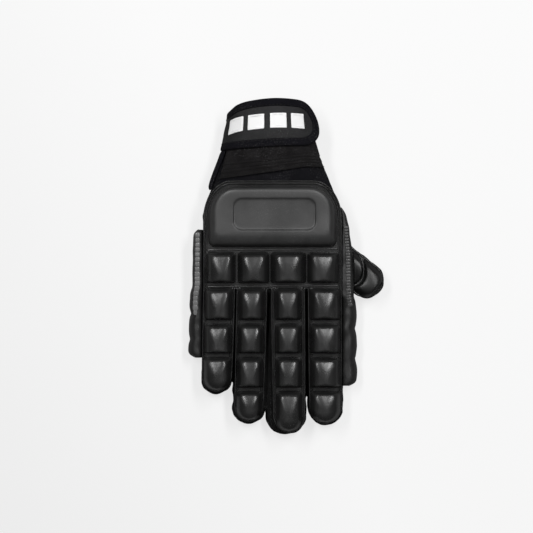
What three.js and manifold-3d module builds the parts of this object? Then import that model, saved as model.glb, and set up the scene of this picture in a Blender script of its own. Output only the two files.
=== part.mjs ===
// A padded field hockey glove for the right hand, lying palm down.
// Units are millimetres. +X is the thumb side, +Y runs to the wrist and +Z to the back of the hand.
// The origin is on the flat underside of the palm, level with the finger roots, midway across the hand.

import * as THREE from 'three';
import Module from 'manifold-3d';

const wasm = await Module();
wasm.setup();

// The hand
const handWidth = 108.8;
const handLength = 62;
const cuffLength = 84;
const backHeight = 27.5;
const archDrop = 3;
const middleReach = 119;
const wall = 1.8;
const cuffWall = 3;
const seamHeight = 9;
const clearance = 0.3;

// The wrist mouth
const mouthWidth = 62;
const mouthShift = 1.3;
const mouthRimWidth = 4.5;
const mouthDropDepth = 11.5;
const mouthDropAt = 0.22;
const mouthDropHalf = 0.24;
const mouthRimProud = 0.8;

// The moulded sheet on the back, and its foam pads
const sheetOverhang = 1;
const sheetThickness = 2.4;
const sheetLength = 83.4;
const sheetCornerWidth = 23;
const sheetCornerLength = 31;
const rowPitch = 27.8;
const knuckleRowStart = 26.4;
const knuckleRowWidth = 103;
const padLength = 24.4;
const padGap = 3.4;
const padHeight = 12;
const tipPadHeight = 11;
const tipMargin = 1.4;
const backPadHeight = 13;
const backPadWidth = 102.4;
const backPadEnd = 78.4;
const backPadCorner = 24;

// The padded guards along the outer sides
const guardCrestRise = 1;
const littleGuardStart = 46;
const littleGuardEnd = 58.4;
const littleGuardThickness = 10.4;
const indexGuardStart = 62;
const indexGuardEnd = 81;
const indexGuardThickness = 12;
const guardFloorGap = 4;
const ribHeight = 0.9;
const ribBase = 0.8;
const ribWidth = 4.2;
const littleRibStart = 40;
const littleRibEnd = 20;
const littleRibCount = 15;
const indexRibStart = 44;
const indexRibEnd = 12;
const indexRibCount = 18;

// The thumb
const thumbWidth = 27;
const thumbReach = 74;
const thumbHeight = 15.5;
const thumbRootX = 28;
const thumbRootY = 40.5;
const thumbAngle = -38;
const thumbSheetThickness = 2;
const thumbSheetOverhang = 0.4;
const thumbPadHeight = 8.5;
const thumbPadWidth = 22;
const thumbPadCorner = 3;
const thumbFoldShare = 0.725;

// The closing strap and what it fastens to
const loopThickness = 1.2;
const loopStart = 84.5;
const loopSlant = 12;
const loopEnd = 126;
const loopFrom = 0.3125;
const loopTo = 0.7031;
const edgeTapeLength = 30;
const edgeTapeAt = 0.285;
const edgeTapeThickness = 3;
const strapThickness = 2;
const strapRise = 0.4;
const strapWidth = 39;
const strapInset = 16;
const strapEndLength = 15;
const strapSeam = 0.21;
const strapHold = 0.645;
const strapTip = 0.733;
const strapSpacing = 4.8;
const bindingWidth = 6.4;
const bindingThickness = 3.6;
const sewnShare = 0.6;
const squareSide = 11.8;
const squareRaise = 1.3;
const squareThickness = 0.5;

const reach = handLength + cuffLength;
const strapMiddle = reach - strapInset;
const webDepth = 3;

// Trunk of the glove from the finger roots to the mouth. at is a share of the reach from the roots,
// narrow goes from the hand's width to the mouth's, round from square corners to an oval,
// and rise is the back's height as a share of backHeight.
const trunkRows = [
  { at: -0.1, narrow: 0, round: 0, rise: 0.9 },
  { at: 0, narrow: 0, round: 0, rise: 0.92 },
  { at: 0.2, narrow: 0, round: 0, rise: 1 },
  { at: 0.425, narrow: 0.02, round: 0.06, rise: 1.04 },
  { at: 0.527, narrow: 0.26, round: 0.24, rise: 1.09 },
  { at: 0.6, narrow: 0.42, round: 0.45, rise: 1.14 },
  { at: 0.705, narrow: 0.68, round: 0.74, rise: 1.22 },
  { at: 0.78, narrow: 0.82, round: 0.88, rise: 1.27 },
  { at: 0.9, narrow: 0.97, round: 1, rise: 1.31 },
  { at: 1.05, narrow: 1, round: 1, rise: 1.32 },
];

// Height of the back along the fingers. at is a share of the middle finger's reach.
const fingerRows = [
  { at: -0.1, rise: 0.96 },
  { at: 0, rise: 0.92 },
  { at: 0.25, rise: 0.84 },
  { at: 0.5, rise: 0.76 },
  { at: 0.75, rise: 0.69 },
  { at: 1.05, rise: 0.61 },
];

// Fingers across the hand. from and to are shares of the sheet's width, lean of handWidth at the tip,
// reach of middleReach, pad of the finger's width, and rows the pads past the knuckle row.
const fingers = [
  { name: 'little', from: 0, to: 0.2325, lean: -0.02, reach: 0.725, pad: 0.765, rows: 3 },
  { name: 'ring', from: 0.2404, to: 0.4657, lean: -0.026, reach: 0.925, pad: 0.75, rows: 4 },
  { name: 'middle', from: 0.4859, to: 0.7343, lean: 0.012, reach: 1, pad: 0.68, rows: 4 },
  { name: 'index', from: 0.753, to: 1, lean: 0.006, reach: 0.942, pad: 0.8, rows: 4 },
];

// Proximal edge of each row of pads, in row pitches from the knuckle row.
const rowStarts = [0, 1.035, 2.06, 3.02, 4];

// Knuckle pads across the back, as shares of knuckleRowWidth.
const knucklePads = [
  { name: 'little', from: 0, to: 0.201 },
  { name: 'ring', from: 0.244, to: 0.462 },
  { name: 'middle', from: 0.5, to: 0.745 },
  { name: 'index', from: 0.783, to: 1 },
];

// Rings of a moulded pad from its foot to its crown. side is a share of half its width,
// near and far are shares of half its length, at the wrist end and at the finger end.
const padLevels = [
  { rise: 0, side: 0, near: 0, far: 0 },
  { rise: 0.55, side: 0.08, near: 0.12, far: 0.05 },
  { rise: 0.87, side: 0.24, near: 0.34, far: 0.15 },
  { rise: 1, side: 0.55, near: 0.66, far: 0.42 },
];
const backPadLevels = [
  { rise: 0, side: 0, near: 0, far: 0 },
  { rise: 0.5, side: 0.025, near: 0.06, far: 0.06 },
  { rise: 0.86, side: 0.07, near: 0.16, far: 0.17 },
  { rise: 1, side: 0.16, near: 0.34, far: 0.42 },
];

// Half section of a side guard: out from the hand, and up from its lower edge.
const guardProfile = [
  { out: 0, up: 0.22 },
  { out: 0, up: 0.74 },
  { out: 0.16, up: 0.93 },
  { out: 0.42, up: 1 },
  { out: 0.66, up: 0.95 },
  { out: 0.88, up: 0.76 },
  { out: 1, up: 0.48 },
  { out: 0.97, up: 0.22 },
  { out: 0.76, up: 0.05 },
  { out: 0.42, up: 0 },
  { out: 0.12, up: 0.06 },
];

// Guard thickness along its length, as shares of the guard's length and thickness, and the notches
// between the lobes that swell out of it.
const littleGuardRows = [
  { at: 0, thick: 0.74 },
  { at: 0.04, thick: 0.84 },
  { at: 0.4, thick: 0.9 },
  { at: 1, thick: 0.92 },
];
const indexGuardRows = [
  { at: 0, thick: 0.1 },
  { at: 0.042, thick: 0.34 },
  { at: 0.1, thick: 0.49 },
  { at: 0.17, thick: 0.6 },
  { at: 0.25, thick: 0.75 },
  { at: 0.5, thick: 0.85 },
  { at: 1, thick: 0.88 },
];
const littleNotches = [0.456, 0.655, 0.858, 1];
const indexNotches = [0.507, 0.676, 0.848, 1];
const lobeBulge = 0.19;

// Edges of the strap in plan. at runs from the sewn side to the free end,
// slide moves its middle along the wrist and spread is its width, as shares of strapWidth.
const strapRows = [
  { at: 0, slide: -0.218, spread: 0.744 },
  { at: 0.158, slide: -0.179, spread: 0.8 },
  { at: 0.257, slide: -0.105, spread: 0.908 },
  { at: 0.38, slide: -0.051, spread: 0.974 },
  { at: 0.6, slide: 0, spread: 1 },
  { at: 0.84, slide: -0.02, spread: 0.95 },
  { at: 1, slide: -0.08, spread: 0.9 },
];

// Printed squares along the strap, as shares of the cuff's girth. They narrow where it turns away.
const squareRows = [
  { from: 0.3095, to: 0.3769 },
  { from: 0.398, to: 0.4689 },
  { from: 0.4956, to: 0.5692 },
  { from: 0.5892, to: 0.6475 },
];

const black = 0x1c1c1e;
const finish = {
  leather: new THREE.MeshStandardMaterial({ color: 0x2a2a2c, roughness: 0.42, metalness: 0 }),
  palm: new THREE.MeshStandardMaterial({ color: 0x202022, roughness: 0.8, metalness: 0 }),
  fabric: new THREE.MeshStandardMaterial({ color: black, roughness: 0.95, metalness: 0 }),
  loop: new THREE.MeshStandardMaterial({ color: 0x242224, roughness: 1, metalness: 0 }),
  tape: new THREE.MeshStandardMaterial({ color: 0x17171c, roughness: 0.9, metalness: 0 }),
  face: new THREE.MeshStandardMaterial({ color: 0x2d2d2e, roughness: 0.6, metalness: 0 }),
  white: new THREE.MeshStandardMaterial({ color: 0xf2f1f4, roughness: 0.5, metalness: 0 }),
};

// Reads a column of a table at a place between its rows, along a smooth curve.
function read(rows, column, at) {
  const last = rows.length - 1;
  let i = 0;
  while (i < last - 1 && at > rows[i + 1].at) i += 1;
  const slope = (k) => {
    const a = rows[Math.max(k - 1, 0)];
    const b = rows[Math.min(k + 1, last)];
    return (b[column] - a[column]) / (b.at - a.at);
  };
  const step = rows[i + 1].at - rows[i].at;
  const t = THREE.MathUtils.clamp((at - rows[i].at) / step, 0, 1);
  const rise = rows[i + 1][column] - rows[i][column];
  const bend = t * (1 - t) * ((1 - t) * (slope(i) * step - rise) - t * (slope(i + 1) * step - rise));
  return rows[i][column] + rise * t + bend;
}

// Height of the glove's back over the palm side, at a place in plan.
function backAt(x, y) {
  const rise = y < 0 ? read(fingerRows, 'rise', -y / middleReach) : read(trunkRows, 'rise', y / reach);
  const across = x / (handWidth / 2);
  return backHeight * rise - archDrop * across * across;
}

// A closed solid through rings of equally many points, with flat ends.
function loft(rings) {
  const count = rings[0].length;
  const index = [];
  for (let r = 0; r + 1 < rings.length; r += 1) {
    for (let i = 0; i < count; i += 1) {
      const a = r * count + i;
      const b = r * count + ((i + 1) % count);
      index.push(a, b, b + count, a, b + count, a + count);
    }
  }
  const end = (rings.length - 1) * count;
  for (let low = 0, high = count - 1; low + 1 < high; low += 1, high -= 1) {
    index.push(high, low + 1, low, end + low, end + low + 1, end + high);
    if (low + 1 < high - 1) {
      index.push(high, high - 1, low + 1, end + low + 1, end + high - 1, end + high);
    }
  }
  const geometry = new THREE.BufferGeometry().setFromPoints(rings.flat());
  geometry.setIndex(volume(geometry, index) < 0 ? index.reverse() : index);
  return geometry;
}

// A closed solid ring through sections that run round a loop.
function loopLoft(rings) {
  const count = rings[0].length;
  const index = [];
  rings.forEach((ring, r) => {
    const here = r * count;
    const next = ((r + 1) % rings.length) * count;
    for (let i = 0; i < count; i += 1) {
      const j = (i + 1) % count;
      index.push(here + i, here + j, next + j, here + i, next + j, next + i);
    }
  });
  const geometry = new THREE.BufferGeometry().setFromPoints(rings.flat());
  geometry.setIndex(volume(geometry, index) < 0 ? index.reverse() : index);
  return geometry;
}

function volume(geometry, index) {
  const [a, b, c] = [new THREE.Vector3(), new THREE.Vector3(), new THREE.Vector3()];
  const points = geometry.getAttribute('position');
  let sum = 0;
  for (let i = 0; i < index.length; i += 3) {
    a.fromBufferAttribute(points, index[i]);
    b.fromBufferAttribute(points, index[i + 1]);
    c.fromBufferAttribute(points, index[i + 2]);
    sum += a.dot(b.cross(c));
  }
  return sum;
}

// Geometry to a manifold solid and back, for joining and cutting.
function solid(geometry) {
  return new wasm.Manifold(new wasm.Mesh({
    numProp: 3,
    vertProperties: new Float32Array(geometry.getAttribute('position').array),
    triVerts: new Uint32Array(geometry.getIndex().array),
  }));
}

function geometryOf(manifold) {
  const mesh = manifold.getMesh();
  const geometry = new THREE.BufferGeometry();
  geometry.setAttribute('position', new THREE.BufferAttribute(mesh.vertProperties, 3));
  geometry.setIndex(new THREE.BufferAttribute(mesh.triVerts, 1));
  return geometry;
}

function block(low, high) {
  const corners = [[low[0], low[1]], [high[0], low[1]], [high[0], high[1]], [low[0], high[1]]];
  return solid(loft([low[2], high[2]].map((z) => corners.map(([x, y]) => new THREE.Vector3(x, y, z)))));
}

// Cross-section of a glove tube in its own plane: flat underneath, rounded at the corners.
// topAt gives the height of the back across it, and inset shrinks it to the inside of its wall.
function section({ middle, half, topAt, top, bottom }, inset, cornerSteps, topSteps) {
  const width = half - inset;
  const corner = (side, size, isTop) => {
    const points = [];
    const rx = Math.max(Math.min(size.width - inset, width * 0.95), 0.2);
    const rz = Math.max(size.height - inset, 0.2);
    const x = middle + side * (width - rx);
    const z = isTop ? topAt(x) - inset - rz : inset + rz;
    for (let k = 0; k <= cornerSteps; k += 1) {
      const angle = (k / cornerSteps) * (Math.PI / 2);
      const up = isTop ? 1 : -1;
      points.push({ x: x + side * rx * Math.cos(angle), z: z + up * rz * Math.sin(angle) });
    }
    return points;
  };
  const left = corner(-1, top, true);
  const right = corner(1, top, true).reverse();
  const start = left[left.length - 1].x;
  const end = right[0].x;
  const crown = [];
  for (let k = 1; k < topSteps; k += 1) {
    const x = start + ((end - start) * k) / topSteps;
    crown.push({ x, z: topAt(x) - inset });
  }
  return [...corner(-1, bottom, false).reverse(), ...left, ...crown, ...right, ...corner(1, bottom, false)];
}

// The trunk's section at one place along the hand and cuff.
function trunkAt(y) {
  const at = y / reach;
  const narrow = read(trunkRows, 'narrow', at);
  const round = read(trunkRows, 'round', at);
  const half = THREE.MathUtils.lerp(handWidth, mouthWidth, narrow) / 2;
  const middle = -mouthShift * narrow;
  const height = backAt(middle, y);
  const mix = (square, oval) => THREE.MathUtils.lerp(square, oval, round);
  return {
    middle,
    half,
    topAt: (x) => backAt(x, y),
    top: { width: mix(0.1, 0.88) * half, height: mix(0.2, 0.52) * height },
    bottom: { width: mix(0.12, 0.5) * half, height: mix(0.24, 0.42) * height },
  };
}

function fingerAt(finger, y) {
  const sheetWidth = handWidth + 2 * sheetOverhang;
  const along = Math.min(Math.max(-y, 0) / (finger.reach * middleReach), 1);
  return {
    middle: sheetWidth * ((finger.from + finger.to) / 2 - 0.5) + finger.lean * handWidth * along,
    half: (sheetWidth * (finger.to - finger.from)) / 2,
  };
}

// How much of its width a finger keeps in its rounded tip, and the places along it worth a section.
function tipShare(y, length, half) {
  const beyond = Math.min(Math.max(-y - (length - half), 0) / half, 1);
  return Math.sqrt(1 - beyond * beyond);
}

function tipPlaces(length, half, shares, angles) {
  const straight = length - half;
  const tip = angles.map((angle) => -(straight + half * Math.sin(THREE.MathUtils.degToRad(angle))));
  return [...shares.map((share) => -share * straight), ...tip];
}

// A hollow finger stall is its outside less its inside. Both are lofted here.
function stallRings(finger, inset, overlap) {
  const length = finger.reach * middleReach;
  const outerHalf = fingerAt(finger, 0).half - sheetOverhang * 0.9;
  const half = outerHalf - inset;
  const places = [overlap, ...tipPlaces(length - inset, half, [0, 0.35, 0.7, 1], [32, 58, 83])];
  return places.map((y) => {
    const keep = tipShare(y, length - inset, half);
    const round = 0.35 + 0.65 * keep;
    const height = backAt(fingerAt(finger, y).middle, y);
    const shape = {
      middle: fingerAt(finger, y).middle,
      half: half * keep + inset,
      topAt: (x) => backAt(x, y) - (1 - round) * height * 0.45,
      top: { width: outerHalf * 0.32 * keep + inset, height: height * 0.3 },
      bottom: { width: outerHalf * 0.3 * keep + inset, height: height * 0.28 },
    };
    return section(shape, inset, 2, 2).map(({ x, z }) => new THREE.Vector3(x, y, z));
  });
}

// The thumb has its own frame: along its axis, and across it, to the left seen from the root.
const thumbTurn = THREE.MathUtils.degToRad(thumbAngle);
const thumbAxis = new THREE.Vector3(Math.cos(thumbTurn), Math.sin(thumbTurn), 0);
const thumbSide = new THREE.Vector3(-Math.sin(thumbTurn), Math.cos(thumbTurn), 0);

function inThumb(along, across, z) {
  return new THREE.Vector3(thumbRootX, thumbRootY, z)
    .addScaledVector(thumbAxis, along)
    .addScaledVector(thumbSide, across);
}

function thumbRings(inset) {
  const half = thumbWidth / 2 - inset;
  const places = [inset, ...tipPlaces(thumbReach - inset, half, [0.5, 1], [32, 58, 83]).map((p) => -p)];
  return places.map((along) => {
    const keep = tipShare(-along, thumbReach - inset, half);
    const shape = {
      middle: 0,
      half: half * keep + inset,
      topAt: () => thumbHeight * (0.72 + 0.28 * keep),
      top: { width: thumbWidth * 0.17 * keep + inset, height: thumbHeight * 0.3 },
      bottom: { width: thumbWidth * 0.17 * keep + inset, height: thumbHeight * 0.28 },
    };
    return section(shape, inset, 2, 2).map(({ x, z }) => inThumb(along, x, z));
  });
}

function trunkRings(places, inset, cornerSteps, topSteps) {
  return places.map((y) => section(trunkAt(y), inset, cornerSteps, topSteps)
    .map(({ x, z }) => new THREE.Vector3(x, y, z)));
}

const jointGap = clearance / 2;

// The hand: palm side and back side, sewn together along the fingers' sides.
function handShells() {
  const handPlaces = [-webDepth * 2, 0, handLength * 0.5, handLength - jointGap];
  const openPlaces = [-webDepth * 2 + wall, 0, handLength * 0.5, handLength - jointGap, handLength * 1.05];
  let outside = solid(loft(trunkRings(handPlaces, 0, 2, 6)));
  let inside = solid(loft(trunkRings(openPlaces, wall, 2, 6)));
  for (const finger of fingers) {
    outside = outside.add(solid(loft(stallRings(finger, 0, handLength * 0.1))));
    inside = inside.add(solid(loft(stallRings(finger, wall, handLength * 0.1 + wall))));
  }
  outside = outside.add(solid(loft(thumbRings(0))));
  inside = inside.add(solid(loft(thumbRings(wall))));
  const shell = outside.subtract(inside);
  const far = 3 * (reach + middleReach);
  const lower = block([-far, -far, -far], [far, far, seamHeight - jointGap]);
  const upper = block([-far, -far, seamHeight + jointGap], [far, far, far]);
  return { palm: geometryOf(shell.intersect(lower)), back: geometryOf(shell.intersect(upper)) };
}

// The cuff's girth at one place, as a smooth closed line. along runs 0 to 1 from the middle of the
// underside, up the little-finger side, over the back and down again.
function girthAt(y) {
  const outline = section(trunkAt(y), 0, 12, 6);
  const first = outline[0];
  const start = { x: (first.x + outline[outline.length - 1].x) / 2, z: first.z };
  const loop = [start, ...outline, start];
  const lengths = loop.slice(1).map((p, k) => Math.hypot(p.x - loop[k].x, p.z - loop[k].z));
  const total = lengths.reduce((sum, length) => sum + length, 0);
  const point = (along) => {
    let rest = (along - Math.floor(along)) * total;
    let k = 0;
    while (k < lengths.length - 1 && rest > lengths[k]) {
      rest -= lengths[k];
      k += 1;
    }
    const t = rest / lengths[k];
    return { x: THREE.MathUtils.lerp(loop[k].x, loop[k + 1].x, t), z: THREE.MathUtils.lerp(loop[k].z, loop[k + 1].z, t) };
  };
  return { total, point };
}

// A point on the cuff, lifted off it, with the way on round the cuff and the girth there.
function cuffFrame(y, along, lift) {
  const { total, point } = girthAt(y);
  const [a, b] = [point(along - 0.012), point(along + 0.012)];
  const on = new THREE.Vector3(b.x - a.x, 0, b.z - a.z).normalize();
  const out = new THREE.Vector3(-on.z, 0, on.x);
  const { x, z } = point(along);
  return { place: new THREE.Vector3(x, y, z).addScaledVector(out, lift), on, total };
}

function onCuff(y, along, lift) {
  return cuffFrame(y, along, lift).place;
}

// How far the mouth is cut back towards the hand on the little-finger side, under the strap.
function mouthDrop(along) {
  const off = Math.min(Math.abs(along - mouthDropAt) / mouthDropHalf, 1);
  return mouthDropDepth * Math.cos((Math.PI / 2) * off) ** 2;
}

// The cuff: a padded tube from the hand to the tape at its mouth.
const cuffSteps = 32;

function cuffTube() {
  const shares = [0, 0.2, 0.36, 0.52, 0.68, 0.84, 1];
  const from = handLength + jointGap;
  const to = reach - mouthRimWidth;
  const ring = (share, lift) => Array.from({ length: cuffSteps }, (_, k) => {
    const along = (k + 0.5) / cuffSteps;
    return onCuff(from + share * (to - from) - mouthDrop(along) * share ** 2, along, lift);
  });
  const outer = shares.map((share) => ring(share, 0));
  const inner = shares.map((share) => ring(share, -cuffWall)).reverse();
  return loopLoft([...outer, ...inner]);
}

// Binding tape along the cuff's mouth, as one closed ring that is a little proud of the cuff.
function mouthRim() {
  const from = reach - mouthRimWidth + clearance;
  const half = cuffWall / 2 + mouthRimProud;
  const lip = [
    { y: 0, out: 0.7 }, { y: 0.25, out: 1 }, { y: 0.75, out: 1 }, { y: 1, out: 0.5 },
    { y: 1, out: -0.5 }, { y: 0.75, out: -1 }, { y: 0.25, out: -1 }, { y: 0, out: -0.7 },
  ];
  return loopLoft(Array.from({ length: cuffSteps }, (_, k) => lip.map(({ y, out }) => {
    const along = (k + 0.5) / cuffSteps;
    const point = onCuff(from + y * (reach - from) - mouthDrop(along), along, out * half - cuffWall / 2);
    point.z = Math.max(point.z, 0);
    return point;
  })));
}

// A strip of the moulded sheet at one place, as a closed ring from edge to edge.
function sheetRing(y, left, right, steps) {
  const low = [];
  const high = [];
  for (let k = 0; k <= steps; k += 1) {
    const x = left + ((right - left) * k) / steps;
    const z = backAt(x, y) + clearance;
    low.push(new THREE.Vector3(x, y, z));
    high.push(new THREE.Vector3(x, y, z + sheetThickness));
  }
  return [...low, ...high.reverse()];
}

function backSheet() {
  const half = handWidth / 2 + sheetOverhang;
  const straight = sheetLength - sheetCornerLength;
  const corner = [0, 25, 45, 62, 78, 90].map((degrees) => THREE.MathUtils.degToRad(degrees));
  const handPlaces = [
    { y: -webDepth, half },
    { y: 0, half },
    { y: straight * 0.5, half },
    ...corner.map((angle) => ({
      y: straight + sheetCornerLength * Math.sin(angle),
      half: half - sheetCornerWidth * (1 - Math.cos(angle)),
    })),
  ];
  let sheet = solid(loft(handPlaces.map((place) => sheetRing(place.y, -place.half, place.half, 8))));
  for (const finger of fingers) {
    const length = finger.reach * middleReach - sheetOverhang;
    const rings = tipPlaces(length, fingerAt(finger, 0).half, [0, 0.3, 0.6, 0.85, 1], [30, 55, 76, 88]);
    const strip = rings.map((y) => {
      const { middle, half: wide } = fingerAt(finger, y);
      const keep = tipShare(y, length, wide) * (1 - 0.08 * (-y / length) ** 3);
      return sheetRing(y, middle - wide * keep, middle + wide * keep, 4);
    });
    sheet = sheet.add(solid(loft(strip)));
  }
  return geometryOf(sheet);
}

// Outline of a pad: a rectangle with round corners, tighter at one end than the other. Its near
// and far edges are divided across, so that a wide pad follows the arch of the back.
function padOutline(middle, half, near, far, nearCorner, farCorner, steps, across) {
  const points = [];
  const edge = (side, end, size) => {
    const r = Math.max(Math.min(size, half, (near - far) / 2), 0.3);
    for (let k = 1; k < across; k += 1) {
      points.push({ x: middle + side * (half - r) * (1 - (2 * k) / across), y: end });
    }
  };
  const corner = (side, end, size, isNear) => {
    const r = Math.max(Math.min(size, half, (near - far) / 2), 0.3);
    for (let k = 0; k <= steps; k += 1) {
      const angle = (k / steps) * (Math.PI / 2);
      const turn = side * (isNear ? 1 : -1) > 0 ? angle : Math.PI / 2 - angle;
      const out = isNear ? -1 : 1;
      points.push({
        x: middle + side * (half - r + r * Math.cos(turn)),
        y: end + out * (r - r * Math.sin(turn)),
      });
    }
  };
  corner(1, near, nearCorner, true);
  edge(1, near, nearCorner);
  corner(-1, near, nearCorner, true);
  corner(-1, far, farCorner, false);
  edge(-1, far, farCorner);
  corner(1, far, farCorner, false);
  return points;
}

// A moulded foam pad, lofted from its foot to its crown. place sets a point of it on its sheet.
function pad({ middle, width, near, far, nearCorner, farCorner, height, levels, place, steps, across }) {
  const half = width / 2;
  const halfLength = (near - far) / 2;
  return loft(levels.map((level) => padOutline(
    middle,
    half * (1 - level.side),
    near - halfLength * level.near,
    far + halfLength * level.far,
    nearCorner * (1 - 0.5 * level.side),
    farCorner * (1 - 0.5 * level.side),
    steps,
    across,
  ).map(({ x, y }) => place(x, y, height * level.rise))));
}

const onSheet = (x, y, h) => new THREE.Vector3(x, y, backAt(x, y) + sheetThickness + 2 * clearance + h);

function backPads() {
  const pads = [];
  const rowAt = (row) => knuckleRowStart - rowPitch * rowStarts[row];
  pads.push(['back_pad', pad({
    middle: 0,
    width: backPadWidth,
    near: backPadEnd,
    far: knuckleRowStart + padGap * 1.4,
    nearCorner: backPadCorner,
    farCorner: backPadCorner * 0.16,
    height: backPadHeight,
    levels: backPadLevels,
    place: onSheet,
    steps: 5,
    across: 8,
  })]);
  for (const { name, from, to } of knucklePads) {
    pads.push([`knuckle_pad_${name}`, pad({
      middle: knuckleRowWidth * ((from + to) / 2 - 0.5),
      width: knuckleRowWidth * (to - from),
      near: rowAt(0),
      far: rowAt(0) - padLength,
      nearCorner: padLength * 0.12,
      farCorner: padLength * 0.12,
      height: padHeight,
      levels: padLevels,
      place: onSheet,
      steps: 3,
      across: 2,
    })]);
  }
  for (const finger of fingers) {
    const wide = fingerAt(finger, 0).half * 2;
    for (let row = 1; row <= finger.rows; row += 1) {
      const isTip = row === finger.rows;
      const near = rowAt(row);
      const far = isTip ? -finger.reach * middleReach + sheetOverhang + tipMargin : rowAt(row + 1) + padGap;
      const width = wide * finger.pad;
      const along = fingerAt(finger, (near + far) / 2).middle - fingerAt(finger, 0).middle;
      pads.push([`${finger.name}_pad_${row}`, pad({
        middle: 0,
        width,
        near,
        far,
        nearCorner: padLength * 0.1,
        farCorner: isTip ? width / 2 : padLength * 0.1,
        height: isTip ? tipPadHeight : padHeight,
        levels: padLevels,
        place: (x, y, h) => onSheet(x + fingerAt(finger, 0).middle + along, y, h),
        steps: 3,
        across: 2,
      })]);
    }
  }
  return pads;
}

// The hand's outer side that a guard is sewn to, at one place.
function outerSide(side, y) {
  if (y >= 0) return side * trunkAt(y).half;
  const finger = side < 0 ? fingers[0] : fingers[fingers.length - 1];
  const { middle, half } = fingerAt(finger, y);
  return middle + side * (half - sheetOverhang * 0.9);
}

function guardThickness({ rows, notches, thickness }, at) {
  let k = notches.length - 2;
  while (k > 0 && at < notches[k]) k -= 1;
  const t = THREE.MathUtils.clamp((at - notches[k]) / (notches[k + 1] - notches[k]), 0, 1);
  return thickness * (read(rows, 'thick', at) + lobeBulge * Math.sqrt(Math.sin(Math.PI * t)));
}

const littleGuard = {
  side: -1,
  start: littleGuardStart,
  end: -littleGuardEnd,
  thickness: littleGuardThickness,
  rows: littleGuardRows,
  notches: littleNotches,
  bottomAt: () => guardFloorGap,
};

// Over the thumb's root the index guard is only as deep as the thumb's sheet leaves room for.
const overThumb = thumbHeight + clearance + thumbSheetThickness + clearance;
const thumbSheetHalf = thumbWidth / 2 + thumbSheetOverhang;
const clearOfThumb = inThumb(thumbReach - thumbWidth / 2, -thumbSheetHalf, 0).y - clearance;
const indexGuard = {
  side: 1,
  start: indexGuardStart,
  end: -indexGuardEnd,
  thickness: indexGuardThickness,
  rows: indexGuardRows,
  notches: indexNotches,
  bottomAt: (y) => (y > clearOfThumb ? overThumb : guardFloorGap),
};
const underThumb = (indexGuardStart - clearOfThumb) / (indexGuardStart + indexGuardEnd);

function guardRing(guard, y, swell) {
  const at = (guard.start - y) / (guard.start - guard.end);
  const inner = outerSide(guard.side, y) + guard.side * clearance;
  const low = guard.bottomAt(y);
  const high = backAt(inner, y) + guardCrestRise;
  const middle = (low + high) / 2;
  const thick = guardThickness(guard, at) * swell;
  return guardProfile.map(({ out, up }) => new THREE.Vector3(
    inner + guard.side * out * thick,
    y,
    middle + (up - 0.5) * (high - low) * (0.5 + 0.5 * swell),
  ));
}

function sideGuard(guard, stations) {
  const length = guard.start - guard.end;
  const places = stations.map((at) => guard.start - at * length);
  return loft(places.map((y, k) => {
    const isEnd = k === 0 || k === places.length - 1;
    return guardRing(guard, y, isEnd ? 0.72 : 1);
  }));
}

function guardStations(guard, lead) {
  const { notches } = guard;
  const lobes = notches.slice(0, -1).flatMap((from, k) => {
    const span = notches[k + 1] - from;
    return [0.004, 0.12, 0.35, 0.65, 0.88].map((share) => from + span * share);
  });
  return [...lead, ...lobes, 0.992, 1];
}

// Ribbed edging along a guard's crest: a thin strip with a round rib for each fold.
function ribStrip(guard, from, to, count) {
  const crest = guardProfile.find(({ up }) => up === 1);
  const rings = [];
  for (let k = 0; k <= count * 2; k += 1) {
    const y = from + ((to - from) * k) / (count * 2);
    const inner = outerSide(guard.side, y) + guard.side * clearance;
    const thick = guardThickness(guard, (guard.start - y) / (guard.start - guard.end));
    const x = inner + guard.side * crest.out * thick;
    const foot = backAt(inner, y) + guardCrestRise + clearance;
    const top = foot + ribBase + (k % 2 ? ribHeight : 0);
    const half = Math.min(ribWidth, thick * 0.7) / 2;
    rings.push([
      new THREE.Vector3(x - half, y, foot),
      new THREE.Vector3(x + half, y, foot),
      new THREE.Vector3(x + half * 0.8, y, top),
      new THREE.Vector3(x - half * 0.8, y, top),
    ]);
  }
  return loft(rings);
}

// The thumb's sheet and its two pads, cut off where they meet the hand and the index guard.
function thumbArmour() {
  const far = 3 * (reach + middleReach);
  const handSide = handWidth / 2 + clearance;
  const guardOut = handSide + indexGuardThickness * read(indexGuardRows, 'thick', indexNotches[0]) + clearance;
  const beyondHand = block([handSide, -far, -far], [far, far, far]);
  const beyondGuard = block([guardOut, -far, -far], [far, far, far]);
  const shares = [0.3, 0.7, 1];
  const places = tipPlaces(thumbReach, thumbSheetHalf, shares, [30, 55, 75, 88]).map((p) => -p);
  const foot = thumbHeight + clearance;
  const sheet = loft(places.map((along) => {
    const half = thumbSheetHalf * tipShare(-along, thumbReach, thumbSheetHalf);
    return [
      inThumb(along, -half, foot),
      inThumb(along, half, foot),
      inThumb(along, half, foot + thumbSheetThickness),
      inThumb(along, -half, foot + thumbSheetThickness),
    ];
  }));
  const padFoot = foot + thumbSheetThickness + clearance;
  const fold = thumbReach * thumbFoldShare;
  const thumbPad = (near, end, farCorner) => solid(pad({
    middle: 0,
    width: thumbPadWidth,
    near: -near,
    far: -end,
    nearCorner: thumbPadCorner,
    farCorner,
    height: thumbPadHeight,
    levels: padLevels,
    place: (x, y, h) => inThumb(-y, x, padFoot + h),
    steps: 3,
    across: 2,
  }));
  return {
    sheet: geometryOf(solid(sheet).intersect(beyondHand)),
    base: geometryOf(thumbPad(thumbReach * 0.36, fold - padGap / 2, thumbPadCorner).intersect(beyondGuard)),
    tip: geometryOf(thumbPad(fold + padGap / 2, thumbReach - tipMargin, thumbPadWidth / 2).intersect(beyondGuard)),
  };
}

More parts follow.
